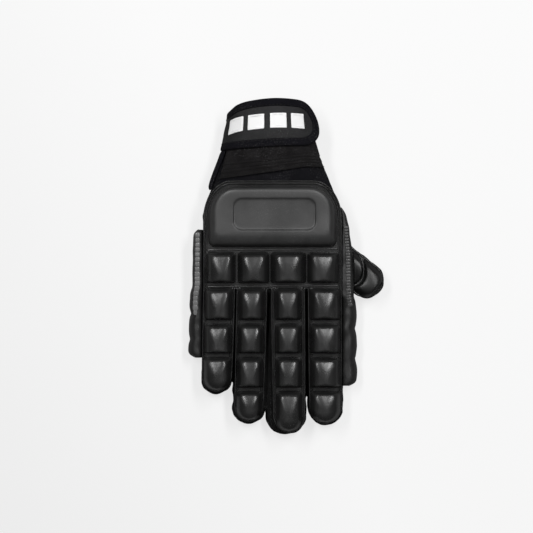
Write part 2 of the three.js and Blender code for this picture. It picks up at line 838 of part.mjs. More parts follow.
// A band on the cuff from one share of its girth to another, between two edges along the wrist.
function cuffBand(stations, lift, thickness, edges, folds) {
  return loft(stations.map((along) => {
    const [low, high] = edges(along);
    const ys = folds.map(({ at }) => low + (high - low) * at);
    const under = ys.map((y) => onCuff(y, along, lift));
    const over = ys.map((y, k) => onCuff(y, along, lift + thickness + folds[k].rise));
    return [...under, ...over.reverse()];
  }));
}

// The patch of loop fabric on the back of the cuff, with two stitched folds that slant across it.
function loopPatch() {
  const folds = [
    { at: 0, rise: 0 },
    { at: 0.09, rise: 0 },
    { at: 0.13, rise: 0.7 },
    { at: 0.17, rise: 0 },
    { at: 0.24, rise: 0 },
    { at: 0.28, rise: 0.7 },
    { at: 0.32, rise: 0 },
    { at: 0.62, rise: 0 },
    { at: 1, rise: 0 },
  ];
  const across = 12;
  const stations = Array.from({ length: across + 1 }, (_, k) => loopFrom + ((loopTo - loopFrom) * k) / across);
  const low = (along) => loopStart + (loopSlant * (along - stations[0])) / (stations[across] - stations[0]);
  return cuffBand(stations, clearance, loopThickness, (along) => [low(along), loopEnd], folds);
}

// Padded tape down the cuff's little-finger side, from the strap towards the hand.
function edgeTape() {
  const along = edgeTapeAt;
  const from = strapEdges(along, 0)[0] - 2 * clearance;
  const profile = [
    { out: -1, lift: 0 }, { out: -0.9, lift: 0.75 }, { out: -0.4, lift: 1 },
    { out: 0.4, lift: 1 }, { out: 0.9, lift: 0.75 }, { out: 1, lift: 0 },
  ];
  return loft([0, 0.06, 0.35, 0.65, 0.92, 1].map((share, k) => {
    const y = from - share * edgeTapeLength;
    const { total } = girthAt(y);
    const thick = edgeTapeThickness * (k === 0 || k === 5 ? 0.5 : 1);
    return profile.map(({ out, lift }) => {
      return onCuff(y, along + (out * bindingWidth * 0.5) / total, clearance * 1.5 + lift * thick);
    });
  }));
}

// The strap wraps the cuff from its seam on the little-finger side, over the back, and its free end
// runs straight on past the thumb side. along is a share of the cuff's girth, as on the cuff.
const strapLift = loopThickness + 2 * clearance;

function strapPoint(along, y, lift) {
  const held = Math.min(along, strapHold);
  const { place, on, total } = cuffFrame(y, held, strapLift + lift);
  return place.addScaledVector(on, (along - held) * total);
}

// Where the strap's edges run across the wrist, less a margin all round.
function strapEdges(along, margin) {
  const at = (along - strapSeam) / (strapTip - strapSeam);
  const { total } = girthAt(strapMiddle);
  const middle = strapMiddle + read(strapRows, 'slide', at) * strapWidth;
  const left = (strapTip - along) * total - margin;
  const beyond = THREE.MathUtils.clamp(1 - left / (strapEndLength - margin), 0, 1);
  const keep = Math.sqrt(1 - beyond * beyond);
  const half = (read(strapRows, 'spread', at) * strapWidth / 2 - margin) * keep;
  return [middle - half, middle + half];
}

// Places along the strap as far as its free end less a margin, closer together in its round end.
function strapStations(margin, spacing) {
  const { total } = girthAt(strapMiddle);
  const last = strapTip - margin / total;
  const roundFrom = strapTip - strapEndLength / total;
  const count = Math.ceil(((roundFrom - strapSeam) * total) / spacing);
  const straight = Array.from({ length: count }, (_, k) => strapSeam + ((roundFrom - strapSeam) * k) / count);
  const round = [0, 0.26, 0.5, 0.7, 0.86, 0.96, 0.998].map((share) => roundFrom + (last - roundFrom) * share);
  return [...straight, ...round];
}

function strapPanel() {
  const margin = bindingWidth + clearance;
  return loft(strapStations(margin, strapSpacing).map((along) => {
    const [low, high] = strapEdges(along, margin);
    return [
      strapPoint(along, low, strapRise),
      strapPoint(along, high, strapRise),
      strapPoint(along, high, strapRise + strapThickness),
      strapPoint(along, low, strapRise + strapThickness),
    ];
  }));
}

// Padded tape round the strap's edge: along its mouth side, round the free end and back.
function strapTape() {
  const profile = [
    { across: 0, up: 0.3 }, { across: 0, up: 0.7 }, { across: 0.25, up: 1 }, { across: 0.75, up: 1 },
    { across: 1, up: 0.7 }, { across: 1, up: 0.3 }, { across: 0.75, up: 0 }, { across: 0.25, up: 0 },
  ];
  const outer = strapStations(0, strapSpacing);
  const inner = strapStations(bindingWidth, strapSpacing);
  const rings = (side) => outer.map((along, k) => profile.map(({ across, up }) => {
    const from = strapEdges(along, 0)[side];
    const to = strapEdges(inner[k], bindingWidth)[side];
    const flat = THREE.MathUtils.smoothstep(along, strapSeam + 0.02, strapSeam + 0.14);
    return strapPoint(
      THREE.MathUtils.lerp(along, inner[k], across),
      THREE.MathUtils.lerp(from, to, across),
      up * bindingThickness * THREE.MathUtils.lerp(sewnShare, 1, flat),
    );
  }));
  return loft([...rings(1), ...rings(0).reverse()]);
}

// Plain square tabs in a row on the strap's face.
function strapSquare({ from, to }) {
  const foot = strapRise + strapThickness + clearance * 1.5;
  return loft([0, 0.25, 0.5, 0.75, 1].map((share) => {
    const along = from + share * (to - from);
    const [low, high] = strapEdges(along, 0);
    const middle = (low + high) / 2 + squareRaise;
    return [
      strapPoint(along, middle - squareSide / 2, foot),
      strapPoint(along, middle + squareSide / 2, foot),
      strapPoint(along, middle + squareSide / 2, foot + squareThickness),
      strapPoint(along, middle - squareSide / 2, foot + squareThickness),
    ];
  }));
}

const indexLead = [0, 0.04, 0.1, 0.17, 0.25, 0.38, underThumb - 0.001, underThumb + 0.001];

const parts = [];
const piece = (name, geometry, material) => parts.push({ name, geometry, material });

const hand = handShells();
piece('palm_shell', hand.palm, finish.palm);
piece('back_shell', hand.back, finish.fabric);
piece('cuff', cuffTube(), finish.fabric);
piece('mouth_binding', mouthRim(), finish.tape);
piece('back_sheet', backSheet(), finish.leather);
for (const [name, geometry] of backPads()) piece(name, geometry, finish.leather);
piece('little_side_guard', sideGuard(littleGuard, guardStations(littleGuard, [0, 0.04, 0.2, 0.36])), finish.leather);
piece('index_side_guard', sideGuard(indexGuard, guardStations(indexGuard, indexLead)), finish.leather);
piece('little_guard_ribs', ribStrip(littleGuard, littleRibStart, -littleRibEnd, littleRibCount), finish.leather);
piece('index_guard_ribs', ribStrip(indexGuard, indexRibStart, -indexRibEnd, indexRibCount), finish.leather);
const thumb = thumbArmour();
piece('thumb_sheet', thumb.sheet, finish.leather);
piece('thumb_pad_base', thumb.base, finish.leather);
piece('thumb_pad_tip', thumb.tip, finish.leather);
piece('loop_patch', loopPatch(), finish.loop);
piece('cuff_edge_tape', edgeTape(), finish.tape);
piece('closing_strap', strapPanel(), finish.face);
piece('strap_binding', strapTape(), finish.tape);
squareRows.forEach((row, k) => piece(`strap_square_${k + 1}`, strapSquare(row), finish.white));

const glove = new THREE.Group();
for (const { name, geometry, material } of parts) {
  geometry.computeVertexNormals();
  const mesh = new THREE.Mesh(geometry, material);
  mesh.name = name;
  glove.add(mesh);
}

export default glove;
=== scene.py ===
# %% [markdown]
# # A padded field hockey glove
# A right-hand glove lies palm down, the way a shop photographs it from straight above. The measured
# model comes in as a frame, and this lesson dresses it: moulded armour, padded guards, fabric and strap.
# Lengths are in millimetres until a mesh is made. X is the thumb side, Y the wrist, Z the back of the hand.

# %% Load the measured frame
import math
from functools import lru_cache

import bmesh
import bpy
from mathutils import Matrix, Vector, geometry, noise


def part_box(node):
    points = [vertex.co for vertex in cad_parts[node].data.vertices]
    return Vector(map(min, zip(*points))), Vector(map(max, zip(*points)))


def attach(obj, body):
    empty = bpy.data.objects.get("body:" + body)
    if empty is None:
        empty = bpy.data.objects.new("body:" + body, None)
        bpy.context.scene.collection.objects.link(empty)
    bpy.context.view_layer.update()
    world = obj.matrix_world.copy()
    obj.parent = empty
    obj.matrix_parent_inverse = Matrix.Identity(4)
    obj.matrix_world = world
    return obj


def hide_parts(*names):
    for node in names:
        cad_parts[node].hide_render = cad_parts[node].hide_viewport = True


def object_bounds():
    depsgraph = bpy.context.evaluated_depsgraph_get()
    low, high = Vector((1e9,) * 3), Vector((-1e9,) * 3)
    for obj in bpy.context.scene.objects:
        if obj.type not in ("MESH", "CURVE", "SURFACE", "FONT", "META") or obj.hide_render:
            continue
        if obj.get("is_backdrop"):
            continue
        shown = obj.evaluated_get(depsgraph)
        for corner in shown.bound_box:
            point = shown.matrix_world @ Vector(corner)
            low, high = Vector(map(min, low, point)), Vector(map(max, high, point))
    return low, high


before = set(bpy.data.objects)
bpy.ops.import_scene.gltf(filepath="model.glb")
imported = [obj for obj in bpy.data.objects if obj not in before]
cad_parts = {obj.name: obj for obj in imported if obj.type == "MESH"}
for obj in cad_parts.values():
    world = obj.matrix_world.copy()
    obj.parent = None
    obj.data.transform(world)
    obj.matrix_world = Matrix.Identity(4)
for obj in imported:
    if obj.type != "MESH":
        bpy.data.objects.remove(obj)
cad_low, cad_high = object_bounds()
MM = 0.001
print("frame of", len(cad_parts), "nodes,", [round(v / MM, 1) for v in cad_high - cad_low], "mm")


# %% [markdown]
# ## Camera, floor and light
# A long lens far above the glove gives the flat view of a product photograph. A short lens nearer by
# would make the raised pads lean outwards.

# %% Camera
PHOTO_MIDDLE = (-4.8, 14.8)
PHOTO_WIDTH = 426.4
PAD_LEVEL = 18
LENS = 220
SENSOR = 36


def add_camera():
    data = bpy.data.cameras.new("camera")
    data.lens = LENS
    data.sensor_width = SENSOR
    data.clip_end = 20
    camera = bpy.data.objects.new("camera", data)
    height = PHOTO_WIDTH * LENS / SENSOR + PAD_LEVEL
    camera.location = (PHOTO_MIDDLE[0] * MM, PHOTO_MIDDLE[1] * MM, height * MM)
    bpy.context.scene.collection.objects.link(camera)
    bpy.context.scene.camera = camera
    return height


print("camera", round(add_camera()), "mm up")

# %% [markdown]
# Two long strip boxes, one on each side and level with the wrist, put the pair of long highlights on
# every pad. A wide panel overhead shines on whatever lies level, and little light comes from the sides,
# so the slopes between the pads stay dark. The floor is a pale sheet that glows by emission for the
# camera only, a painted light that is a little dimmer towards the lower left. The glove gets only a dim
# bounce from it, as in a studio where the table ends near by.

# %% Floor and light
FLOOR_SIZE = 4
FLOOR_TILT = 0.45
FLOOR_FALL = (-0.3, 0.0)
FLOOR_GLOW = (0.66, 0.735)
WORLD_STRENGTH = 0.08
LIGHTS = {  # place and size in metres, then watts
    "strip_box_left": ((-0.66, 0.7, 1.72), (0.24, 1.0), 17.5),
    "strip_box_right": ((0.66, 0.7, 1.72), (0.24, 1.0), 20.5),
    "overhead_panel": ((0.0, 0.1, 3.1), (3.0, 3.0), 7),
}


def floor_painted_glow():
    paper = bpy.data.materials.new("floor_painted_glow")
    paper.use_nodes = True
    tree = paper.node_tree
    shader = tree.nodes["Principled BSDF"]
    shader.inputs["Roughness"].default_value = 0.9
    shader.inputs["Specular IOR Level"].default_value = 0.1
    shader.inputs["Base Color"].default_value = (0.22, 0.22, 0.22, 1)
    place = tree.nodes.new("ShaderNodeTexCoord")
    parts = tree.nodes.new("ShaderNodeSeparateXYZ")
    tree.links.new(place.outputs["Object"], parts.inputs[0])
    slope = tree.nodes.new("ShaderNodeMath")
    slope.operation = "MULTIPLY_ADD"
    tree.links.new(parts.outputs["Y"], slope.inputs[0])
    slope.inputs[1].default_value = FLOOR_TILT
    tree.links.new(parts.outputs["X"], slope.inputs[2])
    fall = tree.nodes.new("ShaderNodeMapRange")
    tree.links.new(slope.outputs[0], fall.inputs["Value"])
    for key, value in zip(("From Min", "From Max", "To Min", "To Max"), FLOOR_FALL + FLOOR_GLOW):
        fall.inputs[key].default_value = value
    # Emission for camera rays only, dimmer towards the lower left: a painted glow, not a lamp.
    seen = tree.nodes.new("ShaderNodeLightPath")
    glow = tree.nodes.new("ShaderNodeMath")
    glow.operation = "MULTIPLY"
    tree.links.new(seen.outputs["Is Camera Ray"], glow.inputs[0])
    tree.links.new(fall.outputs[0], glow.inputs[1])
    tree.links.new(glow.outputs[0], shader.inputs["Emission Strength"])
    shader.inputs["Emission Color"].default_value = (1, 1, 1, 1)
    return paper


def add_floor():
    mesh = bpy.data.meshes.new("floor")
    size = FLOOR_SIZE
    corners = [(-size, -size), (size, -size), (size, size), (-size, size)]
    mesh.from_pydata([(x, y, -0.2 * MM) for x, y in corners], [], [(0, 1, 2, 3)])
    floor = bpy.data.objects.new("floor", mesh)
    bpy.context.scene.collection.objects.link(floor)
    mesh.materials.append(floor_painted_glow())
    floor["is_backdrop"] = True


def add_light(name, place, size, watts):
    """A rectangle of light, tipped sideways towards the glove. Its long side stays level."""
    data = bpy.data.lights.new(name, "AREA")
    data.shape = "RECTANGLE"
    data.size, data.size_y = size
    data.energy = watts
    light = bpy.data.objects.new(name, data)
    light.location = place
    light.rotation_euler = (0, math.atan2(place[0], place[2]), 0)
    bpy.context.scene.collection.objects.link(light)


def add_world(strength):
    world = bpy.data.worlds.new("studio")
    world.use_nodes = True
    world.node_tree.nodes["Background"].inputs["Color"].default_value = (1, 1, 1, 1)
    world.node_tree.nodes["Background"].inputs["Strength"].default_value = strength
    bpy.context.scene.world = world


add_floor()
add_world(WORLD_STRENGTH)
for name, (place, size, watts) in LIGHTS.items():
    add_light(name, place, size, watts)
bpy.context.scene.view_settings.view_transform = "Standard"

# %% [markdown]
# ## The glove's main sizes
# The same driving sizes as the measured model's, so that every new piece sits where its solid is.
# Each table is a set of named columns, and `read` runs a smooth curve through a column.

# %% Sizes and tables
HAND_WIDTH = 108.8
HAND_LENGTH = 62
REACH = 146
BACK_HEIGHT = 27.5
ARCH_DROP = 3
MIDDLE_REACH = 119
MOUTH_WIDTH = 62
MOUTH_SHIFT = 1.3
SEAM_HEIGHT = 9
WEB = -3
SHEET_OVERHANG = 1
MOUTH_DROPS = ((0.22, 0.24, 11.5), (0.74, 0.22, 4.5))  # share of the girth, half its width, depth
CLEARANCE = 0.3
ROW_PITCH = 27.8
KNUCKLE_START = 26.4
PAD_GAP = 3.4

TRUNK = {
    "at": (-0.1, 0, 0.2, 0.425, 0.527, 0.6, 0.705, 0.78, 0.9, 1.05),
    "narrow": (0, 0, 0, 0.02, 0.26, 0.42, 0.68, 0.82, 0.97, 1),
    "round": (0, 0, 0, 0.06, 0.24, 0.45, 0.74, 0.88, 1, 1),
    "rise": (0.9, 0.92, 1, 1.04, 1.09, 1.14, 1.22, 1.27, 1.31, 1.32),
}
FINGER_RISE = {"at": (-0.1, 0, 0.25, 0.5, 0.75, 1.05), "rise": (0.96, 0.92, 0.84, 0.76, 0.69, 0.61)}
FINGERS = {
    "little": {"from": 0, "to": 0.2325, "lean": -0.02, "reach": 0.725, "pad": 0.765, "rows": 3},
    "ring": {"from": 0.2404, "to": 0.4657, "lean": -0.026, "reach": 0.925, "pad": 0.75, "rows": 4},
    "middle": {"from": 0.4859, "to": 0.7343, "lean": 0.012, "reach": 1, "pad": 0.68, "rows": 4},
    "index": {"from": 0.753, "to": 1, "lean": 0.006, "reach": 0.942, "pad": 0.8, "rows": 4},
}
ROW_STARTS = (0, 1.035, 2.06, 3.02, 4)


def clamp(value, low=0.0, high=1.0):
    return max(low, min(high, value))


def mix(a, b, t):
    return a + (b - a) * t


def smooth(t):
    t = clamp(t)
    return t * t * (3 - 2 * t)


def read(table, column, at):
    """A column's value at a place between its rows, along a smooth curve."""
    places, values = table["at"], table[column]
    last = len(places) - 1
    i = 0
    while i < last - 1 and at > places[i + 1]:
        i += 1

    def slope(k):
        a, b = max(k - 1, 0), min(k + 1, last)
        return (values[b] - values[a]) / (places[b] - places[a])

    step = places[i + 1] - places[i]
    t = clamp((at - places[i]) / step)
    rise = values[i + 1] - values[i]
    bend = t * (1 - t) * ((1 - t) * (slope(i) * step - rise) - t * (slope(i + 1) * step - rise))
    return values[i] + rise * t + bend


@lru_cache(maxsize=None)
def rise_at(y):
    return read(FINGER_RISE, "rise", -y / MIDDLE_REACH) if y < 0 else read(TRUNK, "rise", y / REACH)


def back_at(x, y):
    """Height of the glove's back over the palm side."""
    return BACK_HEIGHT * rise_at(round(y, 3)) - ARCH_DROP * (x / (HAND_WIDTH / 2)) ** 2


print("back of the hand", round(back_at(0, 40), 1), "mm up, middle fingertip", round(back_at(0, -110), 1))

# %% [markdown]
# ## Mesh helpers
# Most pieces are lofts: rings of equally many points, joined ring to ring. A loft knows how far along
# and how far round each point is, so it can carry a UV map in metres for weave that follows the cloth.

# %% Make a mesh and a loft
def make_mesh(name, points, faces, corners=None):
    mesh = bpy.data.meshes.new(name)
    mesh.from_pydata([Vector(p) * MM for p in points], [], faces)
    if corners:
        layer = mesh.uv_layers.new(name="lay")
        flat = [value * MM for face in corners for corner in face for value in corner]
        layer.data.foreach_set("uv", flat)
    obj = bpy.data.objects.new(name, mesh)
    bpy.context.scene.collection.objects.link(obj)
    face_outward(obj)
    return obj


def face_outward(obj):
    made = bmesh.new()
    made.from_mesh(obj.data)
    bmesh.ops.remove_doubles(made, verts=made.verts, dist=0.002 * MM)
    bmesh.ops.recalc_face_normals(made, faces=made.faces)
    if made.calc_volume(signed=True) < 0:
        bmesh.ops.reverse_faces(made, faces=made.faces)
    for face in made.faces:
        face.smooth = True
    made.to_mesh(obj.data)
    made.free()


def steps_along(points, closed=False):
    """Running length at each point of a line, and at its start again where it is closed."""
    total, found = 0.0, [0.0]
    for a, b in zip(points, points[1:] + (points[:1] if closed else [])):
        total += (Vector(b) - Vector(a)).length
        found.append(total)
    return found


def loft(name, rings, ends="cap", closed=True):
    """ends is cap, open or loop. A ring that isn't closed makes an open surface."""
    count = len(rings[0])
    wide = count if closed else count - 1
    rows = len(rings) if ends == "loop" else len(rings) - 1
    middle = [sum((Vector(p) for p in ring), Vector()) / count for ring in rings]
    along = steps_along(middle, ends == "loop")
    round_it = steps_along([Vector(p) for p in rings[len(rings) // 2]], closed)
    faces, corners = [], []
    for r in range(rows):
        here, ahead = r * count, (r + 1) % len(rings) * count
        for i in range(wide):
            j = (i + 1) % count
            faces.append((here + i, here + j, ahead + j, ahead + i))
            u, v = (along[r], along[r + 1]), (round_it[i], round_it[i + 1])
            corners.append(((u[0], v[0]), (u[0], v[1]), (u[1], v[1]), (u[1], v[0])))
    if ends == "cap":
        for start, u in ((0, along[0]), ((len(rings) - 1) * count, along[-1])):
            low, high = 0, count - 1
            while low + 1 < high:
                face = [start + high, start + low, start + low + 1, start + high - 1]
                face = face[:3] if face[2] == face[3] else face
                faces.append(tuple(face))
                corners.append(tuple((u, round_it[k - start]) for k in face))
                low, high = low + 1, high - 1
    return make_mesh(name, [p for ring in rings for p in ring], faces, corners)


def ring_quads(rings, count):
    """Quads between closed rings of count points each."""
    faces = []
    for r in range(rings - 1):
        for i in range(count):
            j = (i + 1) % count
            faces.append((r * count + i, r * count + j, (r + 1) * count + j, (r + 1) * count + i))
    return faces


def tube(name, path, radius, sides=8, closed=False, flatten=1.0):
    """A round cord along a path, with caps where it isn't closed."""
    count = len(path)
    rings = []
    for k, point in enumerate(path):
        before = Vector(path[k - 1] if closed or k else path[0])
        after = Vector(path[(k + 1) % count] if closed or k + 1 < count else path[-1])
        way = (after - before).normalized()
        out = way.cross(Vector((0, 0, 1))).normalized()
        up = out.cross(way)
        turns = [math.tau * n / sides for n in range(sides)]
        ways = [out * math.cos(a) + up * math.sin(a) * flatten for a in turns]
        rings.append([Vector(point) + way * radius for way in ways])
    return loft(name, rings, "loop" if closed else "cap")


def subdivide(piece, levels=1):
    modifier = piece.modifiers.new("finer", "SUBSURF")
    modifier.levels = levels
    modifier.render_levels = levels
    return piece


def ruffle(piece, depth, size, seed, keep=None, upward=False):
    """Moves each point a little along its normal, or straight up, by smooth noise. keep(co) scales it."""
    shift = Vector((seed * 7.3, seed * 3.1, seed * 5.7))
    mesh = piece.data
    ways = [Vector((0, 0, 1)) if upward else normal.vector.copy() for normal in mesh.vertex_normals]
    places = []
    for vertex, way in zip(mesh.vertices, ways):
        share = keep(vertex.co / MM) if keep else 1
        move = noise.noise(vertex.co / (size * MM) + shift) * depth * share
        places.extend(vertex.co + way * move * MM)
    mesh.vertices.foreach_set("co", places)
    mesh.update()
    return piece


# %% [markdown]
# Every piece says what carries it, which solids it stands for and which finish it takes.

# %% Settle a piece
def settle(piece, nodes, finish):
    piece.data.materials.clear()
    piece.data.materials.append(finish)
    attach(piece, "root")
    if nodes:
        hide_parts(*nodes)
    low = [min(v.co[k] for v in piece.data.vertices) / MM for k in range(3)]
    high = [max(v.co[k] for v in piece.data.vertices) / MM for k in range(3)]
    proud = 0.0
    if nodes:
        boxes = [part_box(node) for node in nodes]
        for k in range(3):
            below = min(b[0][k] for b in boxes) / MM - low[k]
            above = high[k] - max(b[1][k] for b in boxes) / MM
            proud = max(proud, below, above)
    faces = len(piece.data.polygons)
    print(f"{piece.name}: {faces} faces, lowest {low[2]:.2f} mm, {proud:.1f} mm proud of its solid")
    return piece


# %% [markdown]
# ## Shared surface effects
# Grain, weave, wear and dust are each one shader node group with named inputs, so that leather, knit
# and tape differ only in their values. The wear group also hands back a mask of the recesses, which the
# finishes darken as painted shade. A group hands back plain values, and every shader stays in its own
# material.

# %% Node helpers
def new_group(name, inputs, outputs):
    tree = bpy.data.node_groups.new(name, "ShaderNodeTree")
    kinds = {"vector": "NodeSocketVector", "value": "NodeSocketFloat", "colour": "NodeSocketColor"}
    for label, (kind, start) in inputs.items():
        socket = tree.interface.new_socket(label, in_out="INPUT", socket_type=kinds[kind])
        if start is not None:
            socket.default_value = start
    for label, kind in outputs.items():
        tree.interface.new_socket(label, in_out="OUTPUT", socket_type=kinds[kind])
    return tree, tree.nodes.new("NodeGroupInput"), tree.nodes.new("NodeGroupOutput")


def node(tree, kind, settings=None, **sockets):
    """A node with its settings, and values or links for its sockets."""
    made = tree.nodes.new(kind)
    for key, value in (settings or {}).items():
        setattr(made, key, value)
    for key, value in sockets.items():
        socket = made.inputs[int(key[1:])] if key[1:].isdigit() else made.inputs[key.replace("_", " ")]
        if isinstance(value, bpy.types.NodeSocket):
            tree.links.new(value, socket)
        else:
            socket.default_value = value
    return made


def maths(tree, operation, a, b=0.0, c=0.0):
    return node(tree, "ShaderNodeMath", {"operation": operation}, i0=a, i1=b, i2=c).outputs[0]


def ramp(tree, value, low, high, to_low=0.0, to_high=1.0):
    made = node(tree, "ShaderNodeMapRange", {"interpolation_type": "SMOOTHSTEP"}, Value=value)
    for label, number in (("From Min", low), ("From Max", high), ("To Min", to_low), ("To Max", to_high)):
        if isinstance(number, bpy.types.NodeSocket):
            tree.links.new(number, made.inputs[label])
        else:
            made.inputs[label].default_value = number
    return made.outputs["Result"]


# %% Leather grain, knit, twill, wear with painted shade in recesses, and dust
def leather_grain():
    tree, given, result = new_group(
        "leather_grain",
        {"Place": ("vector", None), "Pores": ("value", 900), "Creases": ("value", 60)},
        {"Height": "value", "Shade": "value"},
    )
    place = given.outputs["Place"]
    wander = node(tree, "ShaderNodeTexNoise", Vector=place, Scale=500.0, Detail=2.0)
    bent = node(tree, "ShaderNodeVectorMath", {"operation": "MULTIPLY_ADD"},
                i0=wander.outputs["Color"], i1=(0.0006,) * 3, i2=place)
    cells = node(tree, "ShaderNodeTexVoronoi", {"feature": "SMOOTH_F1"},
                 Vector=bent.outputs[0], Scale=given.outputs["Pores"])
    creases = node(tree, "ShaderNodeTexNoise", Vector=place, Scale=given.outputs["Creases"], Detail=4.0)
    height = maths(tree, "MULTIPLY_ADD", creases.outputs["Fac"], 2.2, cells.outputs["Distance"])
    tree.links.new(height, result.inputs["Height"])
    tree.links.new(ramp(tree, creases.outputs["Fac"], 0.3, 0.7), result.inputs["Shade"])
    return tree


def fine_knit():
    """Rows of small loops, or a slanting twill where Slant isn't 0."""
    tree, given, result = new_group(
        "fine_knit",
        {"Place": ("vector", None), "Threads": ("value", 1400), "Slant": ("value", 0),
         "Fuzz": ("value", 0.3)},
        {"Height": "value", "Shade": "value"},
    )
    place = given.outputs["Place"]
    parts = node(tree, "ShaderNodeSeparateXYZ", Vector=place)
    turn = maths(tree, "MULTIPLY", given.outputs["Threads"], math.tau)
    slid = maths(tree, "MULTIPLY_ADD", parts.outputs["Y"], given.outputs["Slant"], parts.outputs["X"])
    rows = maths(tree, "SINE", maths(tree, "MULTIPLY", slid, turn))
    stitches = maths(tree, "SINE", maths(tree, "MULTIPLY", parts.outputs["Y"], turn))
    loops = maths(tree, "MULTIPLY", maths(tree, "ABSOLUTE", rows), maths(tree, "ABSOLUTE", stitches))
    fluff = node(tree, "ShaderNodeTexNoise", Vector=place, Scale=2600.0, Detail=3.0)
    height = maths(tree, "MULTIPLY_ADD", fluff.outputs["Fac"], given.outputs["Fuzz"], loops)
    cloudy = node(tree, "ShaderNodeTexNoise", Vector=place, Scale=90.0, Detail=3.0)
    tree.links.new(height, result.inputs["Height"])
    tree.links.new(ramp(tree, cloudy.outputs["Fac"], 0.3, 0.7), result.inputs["Shade"])
    return tree


def edge_wear_and_hollow_shade():
    tree, given, result = new_group(
        "edge_wear_and_hollow_shade",
        {"Place": ("vector", None), "Low": ("value", 0.53), "High": ("value", 0.6),
         "Patches": ("value", 120)},
        {"Worn And Highlit": "value", "Sunk": "value"},
    )
    shape = node(tree, "ShaderNodeNewGeometry").outputs["Pointiness"]
    worn_and_highlit = ramp(tree, shape, given.outputs["Low"], given.outputs["High"])
    # Recesses, found by low pointiness: the finishes darken them as painted shade, and leather also makes
    # them rougher.
    sunk = ramp(tree, shape, 0.49, 0.42)
    patches = node(tree, "ShaderNodeTexNoise", Vector=given.outputs["Place"],
                   Scale=given.outputs["Patches"], Detail=3.0)
    broken = maths(tree, "MULTIPLY", worn_and_highlit, ramp(tree, patches.outputs["Fac"], 0.35, 0.6))
    tree.links.new(broken, result.inputs["Worn And Highlit"])
    tree.links.new(sunk, result.inputs["Sunk"])
    return tree


def light_dust():
    tree, given, result = new_group(
        "light_dust",
        {"Place": ("vector", None), "Amount": ("value", 0.2)},
        {"Dust": "value"},
    )
    up = node(tree, "ShaderNodeSeparateXYZ", Vector=node(tree, "ShaderNodeNewGeometry").outputs["Normal"])
    specks = node(tree, "ShaderNodeTexNoise", Vector=given.outputs["Place"], Scale=1500.0, Detail=2.0)
    clouds = node(tree, "ShaderNodeTexNoise", Vector=given.outputs["Place"], Scale=35.0, Detail=3.0)
    spread = maths(tree, "MULTIPLY", ramp(tree, specks.outputs["Fac"], 0.56, 0.72),
                   ramp(tree, clouds.outputs["Fac"], 0.4, 0.65))
    lying = maths(tree, "MULTIPLY", spread, ramp(tree, up.outputs["Z"], 0.2, 0.9))
    tree.links.new(maths(tree, "MULTIPLY", lying, given.outputs["Amount"]), result.inputs["Dust"])
    return tree


GRAIN, KNIT, WEAR_AND_HOLLOW_SHADE, DUST = leather_grain(), fine_knit(), edge_wear_and_hollow_shade(), light_dust()
print("shared effects", [g.name for g in (GRAIN, KNIT, WEAR_AND_HOLLOW_SHADE, DUST)])

# %% [markdown]
# ## Finishes
# Leather-like finishes share one recipe: pebbled grain in the bump, recesses darkened as painted shade
# and made rougher, and a slightly paler skin on edges that wear. On the moulded sheet that paler edge is
# lifted far enough to be a painted highlight on its rolled beads. Cloth finishes share another: threads
# in the bump, a cloudy colour, recesses darkened as painted shade, and a soft sheen. Constants sit on
# the shader's own sockets.

# %% Leather and cloth recipes
def start_finish(name, coordinates):
    finish = bpy.data.materials.new(name)
    finish.use_nodes = True
    tree = finish.node_tree
    place = node(tree, "ShaderNodeTexCoord").outputs[coordinates]
    return finish, tree, tree.nodes["Principled BSDF"], place


def blend_colours(tree, amount, a, b):
    made = node(tree, "ShaderNodeMix", {"data_type": "RGBA"})
    for index, value in ((0, amount), (6, a), (7, b)):
        if isinstance(value, bpy.types.NodeSocket):
            tree.links.new(value, made.inputs[index])
        else:
            made.inputs[index].default_value = value
    return made.outputs[2]


def grey(level, blue=0.0):
    return (level * (1 - blue * 0.4), level * (1 - blue * 0.5), level * (1 + blue), 1)


def leather(name, level, pores=900.0, bump=0.12, gloss=(0.36, 0.5), wear=(0.53, 0.6), dust=0.25, hollow_shade=1.0,
            vary=0.14, rub_and_highlight=1.8):
    finish, tree, shader, place = start_finish(name, "Object")
    grain = node(tree, "ShaderNodeGroup", {"node_tree": GRAIN}, Place=place, Pores=pores)
    edges = node(tree, "ShaderNodeGroup", {"node_tree": WEAR_AND_HOLLOW_SHADE}, Place=place, Low=wear[0], High=wear[1])
    motes = node(tree, "ShaderNodeGroup", {"node_tree": DUST}, Place=place, Amount=dust)
    body = blend_colours(tree, grain.outputs["Shade"], grey(level * (1 - vary)), grey(level * (1 + vary)))
    # Paler skin on convex edges: wear on most leathers. On the sheet it is lifted to six times the level, a
    # painted highlight on its rolled beads.
    rubbed_and_highlit = blend_colours(tree, edges.outputs["Worn And Highlit"], body, grey(level * rub_and_highlight))
    # Painted shade: recesses darkened to 0.4 of the skin's level.
    sunk = maths(tree, "MULTIPLY", edges.outputs["Sunk"], hollow_shade)
    hollow_shaded = blend_colours(tree, sunk, rubbed_and_highlit, grey(level * 0.4))
    dusted = blend_colours(tree, motes.outputs["Dust"], hollow_shaded, grey(0.2))
    tree.links.new(dusted, shader.inputs["Base Color"])
    rough = ramp(tree, grain.outputs["Shade"], 0.0, 1.0, gloss[0], gloss[1])
    rougher = maths(tree, "MULTIPLY_ADD", edges.outputs["Sunk"], 0.25, rough)
    tree.links.new(rougher, shader.inputs["Roughness"])
    relief = node(tree, "ShaderNodeBump", Height=grain.outputs["Height"], Distance=0.00012, Strength=bump)
    tree.links.new(relief.outputs["Normal"], shader.inputs["Normal"])
    shader.inputs["Specular IOR Level"].default_value = 0.5
    return finish


